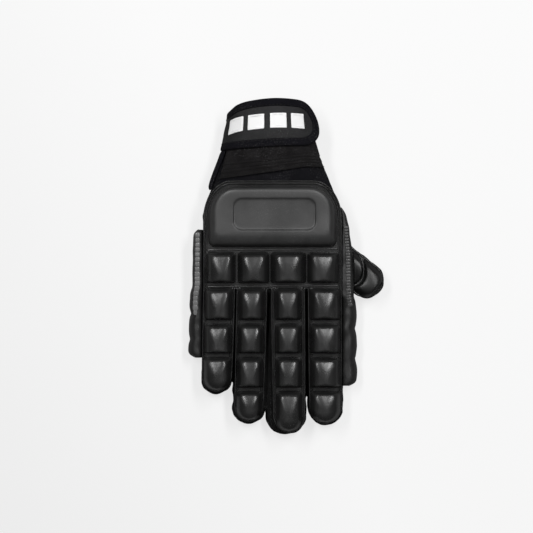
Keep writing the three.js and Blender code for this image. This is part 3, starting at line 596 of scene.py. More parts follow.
def cloth(name, colour, coordinates="UV", threads=1400.0, slant=0.0, bump=0.5, fuzz=0.3, rough=0.85,
          shine=0.1, sheen=0.02, dust=0.25):
    finish, tree, shader, place = start_finish(name, coordinates)
    solid_place = node(tree, "ShaderNodeTexCoord").outputs["Object"]
    weave = node(tree, "ShaderNodeGroup", {"node_tree": KNIT}, Place=place, Threads=threads, Slant=slant,
                 Fuzz=fuzz)
    edges = node(tree, "ShaderNodeGroup", {"node_tree": WEAR_AND_HOLLOW_SHADE}, Place=solid_place)
    motes = node(tree, "ShaderNodeGroup", {"node_tree": DUST}, Place=solid_place, Amount=dust)
    dark = tuple(c * 0.7 for c in colour[:3]) + (1,)
    pale = tuple(c * 1.35 for c in colour[:3]) + (1,)
    cloudy = blend_colours(tree, weave.outputs["Shade"], dark, pale)
    threaded = blend_colours(tree, ramp(tree, weave.outputs["Height"], 0.0, 1.0), dark, cloudy)
    # Painted shade: recesses darkened to 0.4 of the cloth's colour.
    hollow_shaded = blend_colours(tree, edges.outputs["Sunk"], threaded, tuple(c * 0.4 for c in colour[:3]) + (1,))
    dusted = blend_colours(tree, motes.outputs["Dust"], hollow_shaded, grey(0.25))
    tree.links.new(dusted, shader.inputs["Base Color"])
    relief = node(tree, "ShaderNodeBump", Height=weave.outputs["Height"], Distance=0.00025, Strength=bump)
    tree.links.new(relief.outputs["Normal"], shader.inputs["Normal"])
    shader.inputs["Roughness"].default_value = rough
    shader.inputs["Specular IOR Level"].default_value = shine
    shader.inputs["Sheen Weight"].default_value = sheen
    shader.inputs["Sheen Roughness"].default_value = 0.5
    return finish


# %% The glove's finishes
ARMOUR = leather("armour_skin", 0.015, gloss=(0.27, 0.34))
# The sheet's edge lift of 6 paints the highlight on its rolled beads.
SHEET = leather("sheet_skin", 0.006, gloss=(0.3, 0.4), wear=(0.54, 0.6), rub_and_highlight=6)
# Welts, puckers and the thumb's welt take a skin much paler than the sheet's, a painted highlight.
BEAD = leather("bead_skin_painted_highlight", 0.03, gloss=(0.3, 0.4))
BACK = leather("back_pad_skin", 0.031, gloss=(0.38, 0.46))
# A much darker copy of the pad skin for the thumb's pads: painted shade where they sink by the guard and the
# fold.
THUMB_PAD_SHADED_SKIN = leather("thumb_pad_skin_painted_shade", 0.003, gloss=(0.36, 0.44))
GUARD = leather("guard_skin", 0.0135, pores=1100.0, gloss=(0.34, 0.46))
# Rib skins paler than the guard's: a painted highlight, stronger on the little finger's ribs on the lit left
# side.
RIB_SKIN_BRIGHT_HIGHLIGHT = leather("rib_skin_bright_painted_highlight", 0.16, pores=1300.0, gloss=(0.3, 0.42), dust=0.1)
RIB_SKIN_DIM_HIGHLIGHT = leather("rib_skin_dim_painted_highlight", 0.045, pores=1300.0, gloss=(0.3, 0.42), dust=0.1)
PALM = leather("palm_suede", 0.022, pores=1800.0, bump=0.5, gloss=(0.75, 0.9))
STALL = cloth("stall_knit", grey(0.006), "Object", threads=700.0, bump=0.6, fuzz=0.8)
CUFF = cloth("cuff_jersey", grey(0.006, 0.2), threads=900.0, bump=0.4)
LOOP = cloth("patch_loops", (0.0105, 0.0097, 0.0102, 1), threads=620.0, bump=0.6, fuzz=0.9, rough=0.95,
             sheen=0.04)
TAPE = cloth("binding_twill", grey(0.0055, 0.3), threads=520.0, slant=1.0, bump=0.5)
FACE = cloth("strap_cloth", grey(0.014, 0.05), threads=1500.0, bump=0.35, rough=0.6, shine=0.3)
PRINT = leather("square_rubber", 0.93, pores=1600.0, bump=0.08, gloss=(0.45, 0.6), wear=(0.9, 1.0), dust=0.05,
                hollow_shade=0.0, vary=0.03)
THREAD = cloth("stitch_thread", grey(0.016), "Object", threads=2500.0, bump=0.4)
print("finishes", [m.name for m in bpy.data.materials])

# %% [markdown]
# ## Stitches and ribs
# Stitches follow a seam and ribs follow a guard's crest, so both are grown along a path by Geometry
# Nodes: the path is resampled by length, a small rounded bar stands on each point, and the bars turn
# with the path. The result is realized into a plain mesh.

# %% The bar-along-a-path tree
def bars_tree(name, squarer):
    """Round bars for thread, or squarer cushions for ribs."""
    tree = bpy.data.node_groups.new(name, "GeometryNodeTree")
    sockets = tree.interface.new_socket
    sockets("Path", in_out="INPUT", socket_type="NodeSocketGeometry")
    for label in ("Pitch", "Length", "Width", "Height", "Fade"):
        sockets(label, in_out="INPUT", socket_type="NodeSocketFloat")
    sockets("Seed", in_out="INPUT", socket_type="NodeSocketInt")
    sockets("Finish", in_out="INPUT", socket_type="NodeSocketMaterial")
    sockets("Bars", in_out="OUTPUT", socket_type="NodeSocketGeometry")
    given = tree.nodes.new("NodeGroupInput").outputs
    result = tree.nodes.new("NodeGroupOutput")
    spaced = node(tree, "GeometryNodeResampleCurve", {"mode": "LENGTH"}, Curve=given["Path"],
                  Length=given["Pitch"])
    tangent = node(tree, "GeometryNodeInputTangent").outputs[0]
    turned = node(tree, "FunctionNodeAlignRotationToVector", {"axis": "X"}, Vector=tangent)
    if squarer:
        block = node(tree, "GeometryNodeMeshCube", Size=(1, 1, 1))
        bar = node(tree, "GeometryNodeSubdivisionSurface", Mesh=block.outputs[0], Level=3, Edge_Crease=0.3)
    else:
        bar = node(tree, "GeometryNodeMeshUVSphere", Segments=8, Rings=5, Radius=0.5)
    parameter = node(tree, "GeometryNodeSplineParameter").outputs["Factor"]
    left = maths(tree, "SUBTRACT", 1.0, maths(tree, "MULTIPLY", parameter, given["Fade"]))
    jitter = node(tree, "FunctionNodeRandomValue", {"data_type": "FLOAT"}, Seed=given["Seed"])
    jitter.inputs[2].default_value = 0.9
    jitter.inputs[3].default_value = 1.08
    height = maths(tree, "MULTIPLY", given["Height"], left)
    size = node(tree, "ShaderNodeCombineXYZ", X=given["Length"], Y=given["Width"], Z=height).outputs[0]
    scaled = node(tree, "ShaderNodeVectorMath", {"operation": "SCALE"}, i0=size,
                  Scale=jitter.outputs[1]).outputs[0]
    bars = node(tree, "GeometryNodeInstanceOnPoints", Points=spaced.outputs[0], Instance=bar.outputs[0],
                Rotation=turned.outputs[0], Scale=scaled)
    real = node(tree, "GeometryNodeRealizeInstances", Geometry=bars.outputs[0])
    soft = node(tree, "GeometryNodeSetShadeSmooth", Geometry=real.outputs[0])
    done = node(tree, "GeometryNodeSetMaterial", Geometry=soft.outputs[0], Material=given["Finish"])
    tree.links.new(done.outputs[0], result.inputs[0])
    return tree


THREAD_BARS = bars_tree("thread_along_path", False)
RIB_BARS = bars_tree("ribs_along_path", True)


def grow_bars(name, paths, finish, pitch, length, width, height, fade=0.0, seed=1, squarer=False):
    """Bars along each path. Sizes are in millimetres."""
    curve = bpy.data.curves.new(name + "_path", "CURVE")
    curve.dimensions = "3D"
    for path in paths:
        spline = curve.splines.new("POLY")
        spline.points.add(len(path) - 1)
        spline.points.foreach_set("co", [v for p in path for v in (*(Vector(p) * MM), 1)])
    host = bpy.data.objects.new(name + "_path", curve)
    bpy.context.scene.collection.objects.link(host)
    modifier = host.modifiers.new("bars", "NODES")
    tree = RIB_BARS if squarer else THREAD_BARS
    modifier.node_group = tree
    values = {"Pitch": pitch * MM, "Length": length * MM, "Width": width * MM, "Height": height * MM,
              "Fade": fade, "Seed": seed, "Finish": finish}
    for item in tree.interface.items_tree:
        if item.in_out == "INPUT" and item.name in values:
            modifier[item.identifier] = values[item.name]
    graph = bpy.context.evaluated_depsgraph_get()
    mesh = bpy.data.meshes.new_from_object(host.evaluated_get(graph), depsgraph=graph)
    bpy.data.objects.remove(host)
    bpy.data.curves.remove(curve)
    piece = bpy.data.objects.new(name, mesh)
    bpy.context.scene.collection.objects.link(piece)
    return piece


# %% [markdown]
# ## The moulded sheet on the back
# One sheet of moulded foam and skin covers the back of the hand and each finger. Its edge is rolled: a
# bead, a groove and a second low bead, and the paler skin along these edges is a painted highlight. It
# is made from its outline, drawn as one closed line round all four fingers, and the relief is a set of
# lines inside it. A constrained triangulation fills the middle, which the pads mostly cover.

# %% The sheet's outline
SHEET_LENGTH = 83.4
CORNER_WIDTH = 23
CORNER_LENGTH = 31


def finger_at(name, y):
    """Middle and half width of a finger's strip of the sheet."""
    finger = FINGERS[name]
    width = HAND_WIDTH + 2 * SHEET_OVERHANG
    along = clamp(-y / (finger["reach"] * MIDDLE_REACH))
    middle = width * ((finger["from"] + finger["to"]) / 2 - 0.5) + finger["lean"] * HAND_WIDTH * along
    return middle, width * (finger["to"] - finger["from"]) / 2


def tip_share(y, length, half):
    beyond = clamp((-y - (length - half)) / half)
    return math.sqrt(max(1 - beyond * beyond, 0))


def strip_edge(name, y, side):
    length = FINGERS[name]["reach"] * MIDDLE_REACH - SHEET_OVERHANG
    middle, half = finger_at(name, y)
    keep = tip_share(y, length, half) * (1 - 0.08 * (-y / length) ** 3)
    return (middle + side * half * keep, y)


def spread_even(line, step, closed=True):
    """The same line with a point each step, by length."""
    lengths = steps_along([Vector((*p, 0)) if len(p) == 2 else Vector(p) for p in line], closed)
    source = list(line) + ([line[0]] if closed else [])
    count = max(int(round(lengths[-1] / step)), 2)
    found, k = [], 0
    for n in range(count if closed else count + 1):
        at = lengths[-1] * n / count
        while k < len(lengths) - 2 and lengths[k + 1] < at:
            k += 1
        t = clamp((at - lengths[k]) / max(lengths[k + 1] - lengths[k], 1e-9))
        found.append(tuple(mix(a, b, t) for a, b in zip(source[k], source[k + 1])))
    return found


def sheet_outline():
    half = HAND_WIDTH / 2 + SHEET_OVERHANG
    straight = SHEET_LENGTH - CORNER_LENGTH
    corner = [math.radians(a) for a in range(0, 91, 3)]
    top = [(half - CORNER_WIDTH * (1 - math.cos(a)), straight + CORNER_LENGTH * math.sin(a)) for a in corner]
    line = list(top) + [(-x, y) for x, y in reversed(top)]
    names = list(FINGERS)
    for name in names:
        length = FINGERS[name]["reach"] * MIDDLE_REACH - SHEET_OVERHANG
        straight_end = length - finger_at(name, 0)[1]
        down = [mix(WEB, -straight_end, k / 30) for k in range(31)]
        tip = [-straight_end - (length - straight_end) * math.sin(math.radians(a)) for a in range(4, 90, 4)]
        line += [strip_edge(name, y, -1) for y in down + tip]
        line.append(strip_edge(name, -length + 0.001, 0))
        line += [strip_edge(name, y, 1) for y in reversed(down + tip)]
    return spread_even(line, 0.9)


SHEET_LINE = sheet_outline()
print("sheet outline", len(SHEET_LINE), "points")


# %% Relief from an outline
EDGE_ROLL = {  # how far in from the edge, and how high over the sheet's underside
    "in": (0.9, 0.25, 0, 0, 0.12, 0.42, 0.8, 1.15, 1.42, 1.65, 1.9, 2.2, 2.55, 2.9, 3.3, 3.9),
    "up": (0, 0, 0.35, 1.7, 2.25, 2.62, 2.72, 2.5, 1.95, 1.7, 1.95, 2.4, 2.5, 2.3, 2.05, 2.0),
}


def inward(line, depth):
    """A closed line moved in by a depth, held off from folding over itself in tight places."""
    count = len(line)
    area = sum(a[0] * b[1] - b[0] * a[1] for a, b in zip(line, line[1:] + line[:1]))
    turn = 1 if area > 0 else -1
    moved = []
    for k in range(count):
        before, after = Vector(line[k - 2]), Vector(line[(k + 2) % count])
        way = (after - before).normalized()
        moved.append(Vector(line[k]) + Vector((-way.y, way.x)) * depth * turn)
    return moved


def relief_sheet(name, line, under, roll=EDGE_ROLL, fill_step=2.6):
    """A sheet with a rolled edge. under(x, y) is its underside."""
    rings = [[(p.x, p.y, under(p.x, p.y) + up) for p in inward(line, depth)]
             for depth, up in zip(roll["in"], roll["up"])]
    count = len(line)
    points = [p for ring in rings for p in ring]
    faces = ring_quads(len(rings), count)
    for start, level in ((0, 0.0), ((len(rings) - 1) * count, roll["up"][-1])):
        border = [Vector(points[start + i][:2]) for i in range(count)]
        edges = [(i, (i + 1) % count) for i in range(count)]
        inside = []
        if level:
            xs, ys = [p.x for p in border], [p.y for p in border]
            from_x, from_y = min(xs), min(ys)
            for row in range(int((max(ys) - from_y) / fill_step)):
                for col in range(int((max(xs) - from_x) / fill_step)):
                    x = from_x + (col + row % 2 * 0.5) * fill_step
                    inside.append(Vector((x, from_y + row * fill_step)))
        flat, _, cells, origin, _, _ = geometry.delaunay_2d_cdt(
            border + inside, edges, [list(range(count))], 1, 1e-5)
        number = {}
        for k, sources in enumerate(origin):
            if sources and min(sources) < count:
                number[k] = start + min(sources)
            else:
                number[k] = len(points)
                points.append((flat[k].x, flat[k].y, under(flat[k].x, flat[k].y) + level))
        faces += [tuple(number[k] for k in cell) for cell in cells]
    used = sorted({k for face in faces for k in face})
    renumber = {old: new for new, old in enumerate(used)}
    return make_mesh(name, [points[k] for k in used], [tuple(renumber[k] for k in face) for face in faces])


# %% [markdown]
# Two low welts cross the sheet, one between the big pad and the knuckle row and one below the knuckles,
# where the skin folds when the hand closes. Each is a thin cord half sunk in the sheet, in a paler skin
# that is a painted highlight.

# %% The sheet and its welts
WELTS = {"wrist": (28.0, 28.8, 0.95), "knuckle": (-1.2, -0.5, 1.0)}
WELT_END = HAND_WIDTH / 2 + SHEET_OVERHANG - 3.2


def under_sheet(x, y):
    return back_at(x, y) + CLEARANCE


def welt_path(y_left, y_right):
    found = []
    for k in range(91):
        x = mix(-WELT_END, WELT_END, k / 90)
        y = mix(y_left, y_right, k / 90) + noise.noise(Vector((x * 0.07, y_left, 3))) * 0.5
        sink = noise.noise(Vector((x * 0.1, y_left, 9))) * 0.3
        found.append((x, y, under_sheet(x, y) + EDGE_ROLL["up"][-1] - sink))
    return found


sheet = relief_sheet("armour_sheet", SHEET_LINE, under_sheet)
settle(sheet, ["back_sheet"], SHEET)
for name, (y_left, y_right, radius) in WELTS.items():
    settle(subdivide(tube(f"{name}_welt", welt_path(y_left, y_right), radius)), [], BEAD)

# %% [markdown]
# ## The moulded pads
# Each pad is foam pressed in a hot mould, so it keeps crisp lines: a long slope on the wrist side, two
# side slopes that meet it in soft hips, and a steep wall on the finger side. Stuffed cloth would be
# simulated, but a moulded block wouldn't swell, so its rings are shaped by a table, from a flared foot
# to a gently domed crown, and subdivision rounds them.

# %% Pad rings
PAD_FORM = {  # rise, how far in each side lies as a share of half the pad, and how round the wrist end is
    "rise": (-0.06, 0.03, 0.3, 0.55, 0.7, 0.78, 0.833, 0.858, 0.907, 0.943, 0.969, 0.987, 0.997, 1.0),
    "side": (-0.17, -0.14, -0.03, 0.07, 0.15, 0.21, 0.27, 0.32, 0.43, 0.55, 0.67, 0.78, 0.88, 0.95),
    "near": (-0.05, -0.02, 0.05, 0.11, 0.17, 0.24, 0.32, 0.4, 0.6, 0.8, 1.0, 1.2, 1.4, 1.55),
    "far": (-0.06, -0.03, 0.0, 0.025, 0.04, 0.05, 0.06, 0.067, 0.083, 0.105, 0.135, 0.175, 0.25, 0.35),
    "bend": (0, 0, 0, 0.03, 0.08, 0.14, 0.2, 0.26, 0.4, 0.52, 0.65, 0.78, 0.9, 0.95),
}
TIP_FORM = dict(
    PAD_FORM,
    near=(-0.05, -0.02, 0.05, 0.1, 0.15, 0.2, 0.27, 0.33, 0.49, 0.65, 0.81, 0.96, 1.12, 1.26),
    far=(-0.05, -0.03, 0.01, 0.04, 0.07, 0.1, 0.135, 0.155, 0.21, 0.28, 0.36, 0.45, 0.56, 0.68),
)


def rounded_outline(half, near, far, near_corner, far_corner, steps=5, side_steps=6, end_steps=6):
    """A rectangle with round corners, from the middle of its wrist end round to the same place again."""
    points = []
    length = near - far
    rn = max(min(near_corner, half * 0.98, length * 0.49), 0.02)
    rf = max(min(far_corner, half * 0.98, length * 0.49), 0.02)

    def corner(side, end, radius, out, order):
        for k in order:
            a = math.pi / 2 * k / steps
            points.append((side * (half - radius + radius * math.cos(a)),
                           end + out * (radius - radius * math.sin(a))))

    def edge(a, b, count):
        for k in range(1, count):
            points.append((mix(a[0], b[0], k / count), mix(a[1], b[1], k / count)))

    forward, backward = range(steps + 1), range(steps, -1, -1)
    corner(1, near, rn, -1, backward)
    edge((half, near - rn), (half, far + rf), side_steps)
    corner(1, far, rf, 1, forward)
    edge((half - rf, far), (-(half - rf), far), end_steps)
    corner(-1, far, rf, 1, backward)
    edge((-half, far + rf), (-half, near - rn), side_steps)
    corner(-1, near, rn, -1, forward)
    edge((-(half - rn), near), (half - rn, near), end_steps)
    return points


def close_cap(start, count, first=-3):
    """Faces across a rounded outline. first is the point that the mirrored pairs start from."""
    order = [start + (k + first) % count for k in range(count)]
    pairs = ([order[k], order[k + 1], order[count - k - 1], order[-k]] for k in range(count // 2))
    return [tuple(dict.fromkeys(pair)) for pair in pairs]


def moulded_pad(name, middle, half, near, far, near_corner, far_corner, height, form, place, seed,
                rough=0.22):
    """Rings of one pad, closed over the crown. place(x, y, h) sets a point on the sheet."""
    rings = []
    half_length = (near - far) / 2
    for k, rise in enumerate(form["rise"]):
        side, near_in, far_in, bend = (form[c][k] for c in ("side", "near", "far", "bend"))
        wide = half * (1 - side)
        outline = rounded_outline(wide, near - half_length * near_in, far + half_length * far_in,
                                  mix(near_corner, wide * 0.97, bend), far_corner * (1 - 0.55 * clamp(side)))
        rings.append([place(middle + x, y, height * rise) for x, y in outline])
    count = len(rings[0])
    points = [p for ring in rings for p in ring]
    faces = ring_quads(len(rings), count)
    faces += close_cap(0, count) + close_cap((len(rings) - 1) * count, count)
    pad = make_mesh(name, points, faces)
    foot = min(v.co.z for v in pad.data.vertices) / MM
    return ruffle(pad, rough, 10, seed, lambda p: smooth((p.z - foot - 1.5) / 4), upward=True)


def on_sheet(x, y, h):
    return (x, y, back_at(x, y) + CLEARANCE + EDGE_ROLL["up"][-1] + h)


# %% Knuckle pads and finger pads
PAD_LENGTH = 24.4
PAD_HEIGHT = 12.5
PAD_CORNERS = (2.6, 1.6)
TIP_HEIGHT = 11.6
TIP_INSET = 1.4
KNUCKLE_WIDTH = 103
KNUCKLES = {"little": (0, 0.201), "ring": (0.244, 0.462), "middle": (0.5, 0.745), "index": (0.783, 1)}


def row_start(row):
    return KNUCKLE_START - ROW_PITCH * ROW_STARTS[row]


def knuckle_and_finger_pads():
    pads = []
    for seed, (name, (start, end)) in enumerate(KNUCKLES.items()):
        pad = moulded_pad(f"knuckle_block_{name}", KNUCKLE_WIDTH * ((start + end) / 2 - 0.5),
                          KNUCKLE_WIDTH * (end - start) / 2, row_start(0), row_start(0) - PAD_LENGTH,
                          *PAD_CORNERS, PAD_HEIGHT, PAD_FORM, on_sheet, seed + 1)
        pads.append((pad, f"knuckle_pad_{name}"))
    for name, finger in FINGERS.items():
        root, half_strip = finger_at(name, 0)
        for row in range(1, finger["rows"] + 1):
            is_tip = row == finger["rows"]
            near = row_start(row)
            tip_end = -finger["reach"] * MIDDLE_REACH + SHEET_OVERHANG + TIP_INSET
            far = tip_end if is_tip else row_start(row + 1) + PAD_GAP
            middle = finger_at(name, (near + far) / 2)[0]
            half = half_strip * finger["pad"]
            far_corner = half * 0.97 if is_tip else PAD_CORNERS[1]
            height, form = (TIP_HEIGHT, TIP_FORM) if is_tip else (PAD_HEIGHT, PAD_FORM)
            pad = moulded_pad(f"{name}_block_{row}", middle, half, near, far, PAD_CORNERS[0], far_corner,
                              height, form, on_sheet, row + root)
            pads.append((pad, f"{name}_pad_{row}"))
    return pads


for pad, solid in knuckle_and_finger_pads():
    subdivide(pad)
    settle(pad, [solid], ARMOUR)

# %% [markdown]
# Where the sheet is split between two fingers, the leather is pinched into a short soft pucker, in the
# paler bead skin that paints its highlight.

# %% Puckers at the splits
PUCKER = ((-2.3, -0.6), (-1.2, 0.4), (0, 0.7), (1.2, 0.4), (2.3, -0.6))
SPLITS = (("ring", -25.6, -2.9), ("middle", 3.6, -2.6), ("index", 31.6, -2.6))
for name, x, y in SPLITS:
    pucker = [on_sheet(x + across, y, lift) for across, lift in PUCKER]
    settle(subdivide(tube(f"{name}_pucker", pucker, 0.9)), [], BEAD)

# %% [markdown]
# The big pad over the back of the hand is a plateau with soft shoulders. Its middle holds a plain sunk
# panel with round corners. The rings simply go on from the plateau's edge to the panel's rim and down
# into it, so the whole pad stays one skin of quads.

# %% The big pad
BACK_PAD_HEIGHT = 13.4
BACK_PAD_HALF = 51.2
BACK_PAD_NEAR = 78.7
BACK_PAD_FAR = 30.2
BACK_PAD_CORNERS = (24, 5)
PANEL = {"middle": 1.6, "half": 33, "near": 69, "far": 43.4, "corner": 7}
PANEL_STEPS = (  # how far in from the panel's rim, and the share of the pad's height there
    (-0.5, 1.0), (0, 0.99), (0.45, 0.955), (1.0, 0.93), (2.2, 0.925), (4.5, 0.925), (8, 0.925),
)
BACK_FORM = {
    "rise": (-0.06, 0.04, 0.3, 0.55, 0.75, 0.88, 0.955, 0.985),
    "side": (-0.012, 0.004, 0.016, 0.03, 0.048, 0.07, 0.097, 0.13),
    "near": (-0.02, 0, 0.013, 0.026, 0.044, 0.072, 0.11, 0.17),
    "far": (-0.02, 0, 0.02, 0.05, 0.11, 0.21, 0.31, 0.38),
}


def big_pad():
    rows = []
    half_length = (BACK_PAD_NEAR - BACK_PAD_FAR) / 2
    round_corner, tight_corner = BACK_PAD_CORNERS
    for k, rise in enumerate(BACK_FORM["rise"]):
        side, near_in, far_in = (BACK_FORM[c][k] for c in ("side", "near", "far"))
        rows.append((0, BACK_PAD_HALF * (1 - side), BACK_PAD_NEAR - half_length * near_in,
                     BACK_PAD_FAR + half_length * far_in, round_corner * (1 - 0.35 * k / 7),
                     tight_corner, rise))
    last = rows[-1]
    shape = (PANEL["middle"], PANEL["half"], PANEL["near"], PANEL["far"], PANEL["corner"], PANEL["corner"])
    for t, rise in ((0.35, 0.995), (0.7, 1.0)):
        rows.append(tuple(mix(a, b, t) for a, b in zip(last[:6], shape)) + (rise,))
    for inset, rise in PANEL_STEPS:
        middle, half, near, far, corner, _ = shape
        size = max(corner - inset * 0.5, 0.3)
        rows.append((middle, half - inset, near - inset, far + inset, size, size, rise))
    rings = []
    for middle, half, near, far, near_corner, far_corner, rise in rows:
        outline = rounded_outline(half, near, far, near_corner, far_corner, 7, 10, 20)
        rings.append([on_sheet(middle + x, y, BACK_PAD_HEIGHT * rise) for x, y in outline])
    count = len(rings[0])
    points = [p for ring in rings for p in ring]
    faces = ring_quads(len(rings), count)
    faces += close_cap(0, count, 12) + close_cap((len(rings) - 1) * count, count, 12)
    return make_mesh("back_block", points, faces)


back_block = subdivide(ruffle(big_pad(), 0.2, 18, 5, lambda p: smooth((p.z - 38) / 3), upward=True))
settle(back_block, ["back_pad"], BACK)

# %% [markdown]
# ## The fabric hand
# Under the armour is a knitted hand: a flat trunk, four finger stalls and a thumb. Sewn by hand in a
# modeller, the places where stalls meet would need many joining faces. Instead each tube is lofted on
# its own, and a voxel remesh melts them into one smooth skin, the way real stretch fabric runs over its
# seams. The skin is then cut level with the side seam, and each half gets the thickness of its cloth.

# %% Sections of the hand
def tube_section(middle, half, top_at, top, bottom, corner_steps=6, top_steps=10):
    """Cross-section of a glove tube, flat underneath. top and bottom are the corners' sizes."""
    def corner(side, size, is_top):
        rx = max(min(size[0], half * 0.95), 0.2)
        rz = max(size[1], 0.2)
        x = middle + side * (half - rx)
        z = top_at(x) - rz if is_top else rz
        lift = rz if is_top else -rz
        turns = [math.pi / 2 * k / corner_steps for k in range(corner_steps + 1)]
        return [(x + side * rx * math.cos(a), z + lift * math.sin(a)) for a in turns]

    left, right = corner(-1, top, True), corner(1, top, True)[::-1]
    crown = [mix(left[-1][0], right[0][0], k / top_steps) for k in range(1, top_steps)]
    over = left + [(x, top_at(x)) for x in crown] + right
    return corner(-1, bottom, False)[::-1] + over + corner(1, bottom, False)


def trunk_section(y, corner_steps=6, top_steps=10):
    narrow, roundness = read(TRUNK, "narrow", y / REACH), read(TRUNK, "round", y / REACH)
    half = mix(HAND_WIDTH, MOUTH_WIDTH, narrow) / 2
    middle = -MOUTH_SHIFT * narrow
    height = back_at(middle, y)
    top = (mix(0.1, 0.88, roundness) * half, mix(0.2, 0.52, roundness) * height)
    bottom = (mix(0.12, 0.5, roundness) * half, mix(0.24, 0.42, roundness) * height)
    return tube_section(middle, half, lambda x: back_at(x, y), top, bottom, corner_steps, top_steps)


STALLS = {  # the fabric's left and right side at the root and at the tip, and its reach
    "little": {"at": (0, 1), "left": (-54.2, -56.6), "right": (-31.2, -33.4), "reach": 87.2},
    "ring": {"at": (0, 1), "left": (-29.4, -31.8), "right": (-5.2, -6.6), "reach": 110.8},
    "middle": {"at": (0, 1), "left": (-3.6, -4.9), "right": (25.4, 26.5), "reach": 119.4},
    "index": {"at": (0, 1), "left": (27.2, 29.0), "right": (54.2, 56.2), "reach": 112.0},
}
TIP_ANGLES = (0, 15, 30, 45, 58, 70, 79, 86)


def stall_rings(name):
    stall = STALLS[name]
    half_tip = (stall["right"][1] - stall["left"][1]) / 2
    straight = stall["reach"] - half_tip
    places = [8 - (straight + 8) * k / 14 for k in range(14)]
    places += [-straight - half_tip * math.sin(math.radians(a)) for a in TIP_ANGLES]
    rings = []
    for y in places:
        along = clamp(-y / stall["reach"])
        left, right = read(stall, "left", along), read(stall, "right", along)
        keep = tip_share(y, stall["reach"], half_tip)
        middle, half = (left + right) / 2, (right - left) / 2 * keep
        height = back_at(middle, y)
        drop = (1 - keep) * 0.3 * height
        top = ((right - left) * 0.2 * keep, height * 0.34)
        bottom = ((right - left) * 0.17 * keep, height * 0.28)
        outline = tube_section(middle, half, lambda x: back_at(x, y) - drop, top, bottom, 4, 6)
        rings.append([(x, y, z) for x, z in outline])
    return rings


# %% The thumb's own frame
THUMB_WIDTH = 27
THUMB_REACH = 73.3
THUMB_HEIGHT = 15.5
THUMB_ROOT = Vector((28, 40.5, 0))
THUMB_TURN = math.radians(-38)
THUMB_AXIS = Vector((math.cos(THUMB_TURN), math.sin(THUMB_TURN), 0))
THUMB_SIDE = Vector((-math.sin(THUMB_TURN), math.cos(THUMB_TURN), 0))


def in_thumb(along, across, z):
    return THUMB_ROOT + THUMB_AXIS * along + THUMB_SIDE * across + Vector((0, 0, z))


def thumb_rings():
    half = THUMB_WIDTH / 2 + 0.2
    straight = THUMB_REACH + 0.4 - half
    places = [straight * k / 8 for k in range(9)]
    places += [straight + half * math.sin(math.radians(a)) for a in TIP_ANGLES[1:]]
    rings = []
    for along in places:
        keep = tip_share(-along, THUMB_REACH + 0.4, half)
        top_at = THUMB_HEIGHT * mix(0.72, 1, keep)
        size = (THUMB_WIDTH * 0.2 * keep, THUMB_HEIGHT * 0.36 * mix(0.7, 1, keep))
        outline = tube_section(0, half * keep, lambda x: top_at, size, (size[0], THUMB_HEIGHT * 0.28), 4, 6)
        rings.append([in_thumb(along, x, z) for x, z in outline])
    return rings


# %% Melt the tubes into one skin
SKIN_VOXEL = 1.2


def hand_skin():
    tubes = [loft("trunk_tube", [[(x, y, z) for x, z in trunk_section(y, 4, 6)] for y in
                                 (-5.5, -3, 0, 8, 16, 24, 32, 40, 48, 54, 58, 62, 66, 70)])]
    tubes += [loft(f"{name}_tube", stall_rings(name)) for name in STALLS]
    tubes.append(loft("thumb_tube", thumb_rings()))
    joined = bmesh.new()
    for tube in tubes:
        joined.from_mesh(tube.data)
        bpy.data.objects.remove(tube)
    mesh = bpy.data.meshes.new("skin")
    joined.to_mesh(mesh)
    joined.free()
    host = bpy.data.objects.new("skin", mesh)
    bpy.context.scene.collection.objects.link(host)
    melt = host.modifiers.new("melt", "REMESH")
    melt.mode = "VOXEL"
    melt.voxel_size = SKIN_VOXEL * MM
    ease = host.modifiers.new("ease", "SMOOTH")
    ease.factor = 0.5
    ease.iterations = 5
    graph = bpy.context.evaluated_depsgraph_get()
    host.data = bpy.data.meshes.new_from_object(host.evaluated_get(graph), depsgraph=graph)
    host.modifiers.clear()
    return host


def lying(piece):
    """Presses what is nearly on the floor flat on it."""
    for vertex in piece.data.vertices:
        z = vertex.co.z / MM
        vertex.co.z = max(z - 0.8 * smooth((1.6 - z) / 1.6), 0) * MM


def half_of(source, name, plane_place, plane_way, keep_below=False):
    """A copy of a mesh cut by a plane, left open where it was cut."""
    made = bmesh.new()
    made.from_mesh(source.data)
    bmesh.ops.bisect_plane(made, geom=made.verts[:] + made.edges[:] + made.faces[:], dist=1e-7,
                           plane_co=Vector(plane_place) * MM, plane_no=plane_way,
                           clear_outer=keep_below, clear_inner=not keep_below)
    mesh = bpy.data.meshes.new(name)
    made.to_mesh(mesh)
    made.free()
    mesh.polygons.foreach_set("use_smooth", [True] * len(mesh.polygons))
    piece = bpy.data.objects.new(name, mesh)
    bpy.context.scene.collection.objects.link(piece)
    return piece


def thicken(piece, thickness):
    wall = piece.modifiers.new("cloth_thickness", "SOLIDIFY")
    wall.thickness = thickness * MM
    wall.offset = -1
    return piece


skin = hand_skin()
ruffle(skin, 1.1, 9, 3, lambda p: smooth((p.z - 2) / 5))
ruffle(skin, 0.35, 3.2, 8, lambda p: smooth((p.z - 2) / 5))
lying(skin)
open_skin = half_of(skin, "open_skin", (0, HAND_LENGTH - 0.15, 0), (0, 1, 0), keep_below=True)
palm_side = half_of(open_skin, "palm_side", (0, 0, SEAM_HEIGHT - 0.1), (0, 0, 1), keep_below=True)
back_side = half_of(open_skin, "back_side", (0, 0, SEAM_HEIGHT + 0.1), (0, 0, 1))
seam_source = half_of(open_skin, "seam_source", (0, 0, SEAM_HEIGHT), (0, 0, 1))
for spare in (skin, open_skin):
    bpy.data.objects.remove(spare)
settle(thicken(palm_side, 1.6), ["palm_shell"], PALM)
settle(thicken(back_side, 1.6), ["back_shell"], STALL)

# %% [markdown]
# Palm and back are sewn together along the sides with a narrow raised welt. Its path is the very edge
# left by the cut, so it follows every finger without being drawn again.

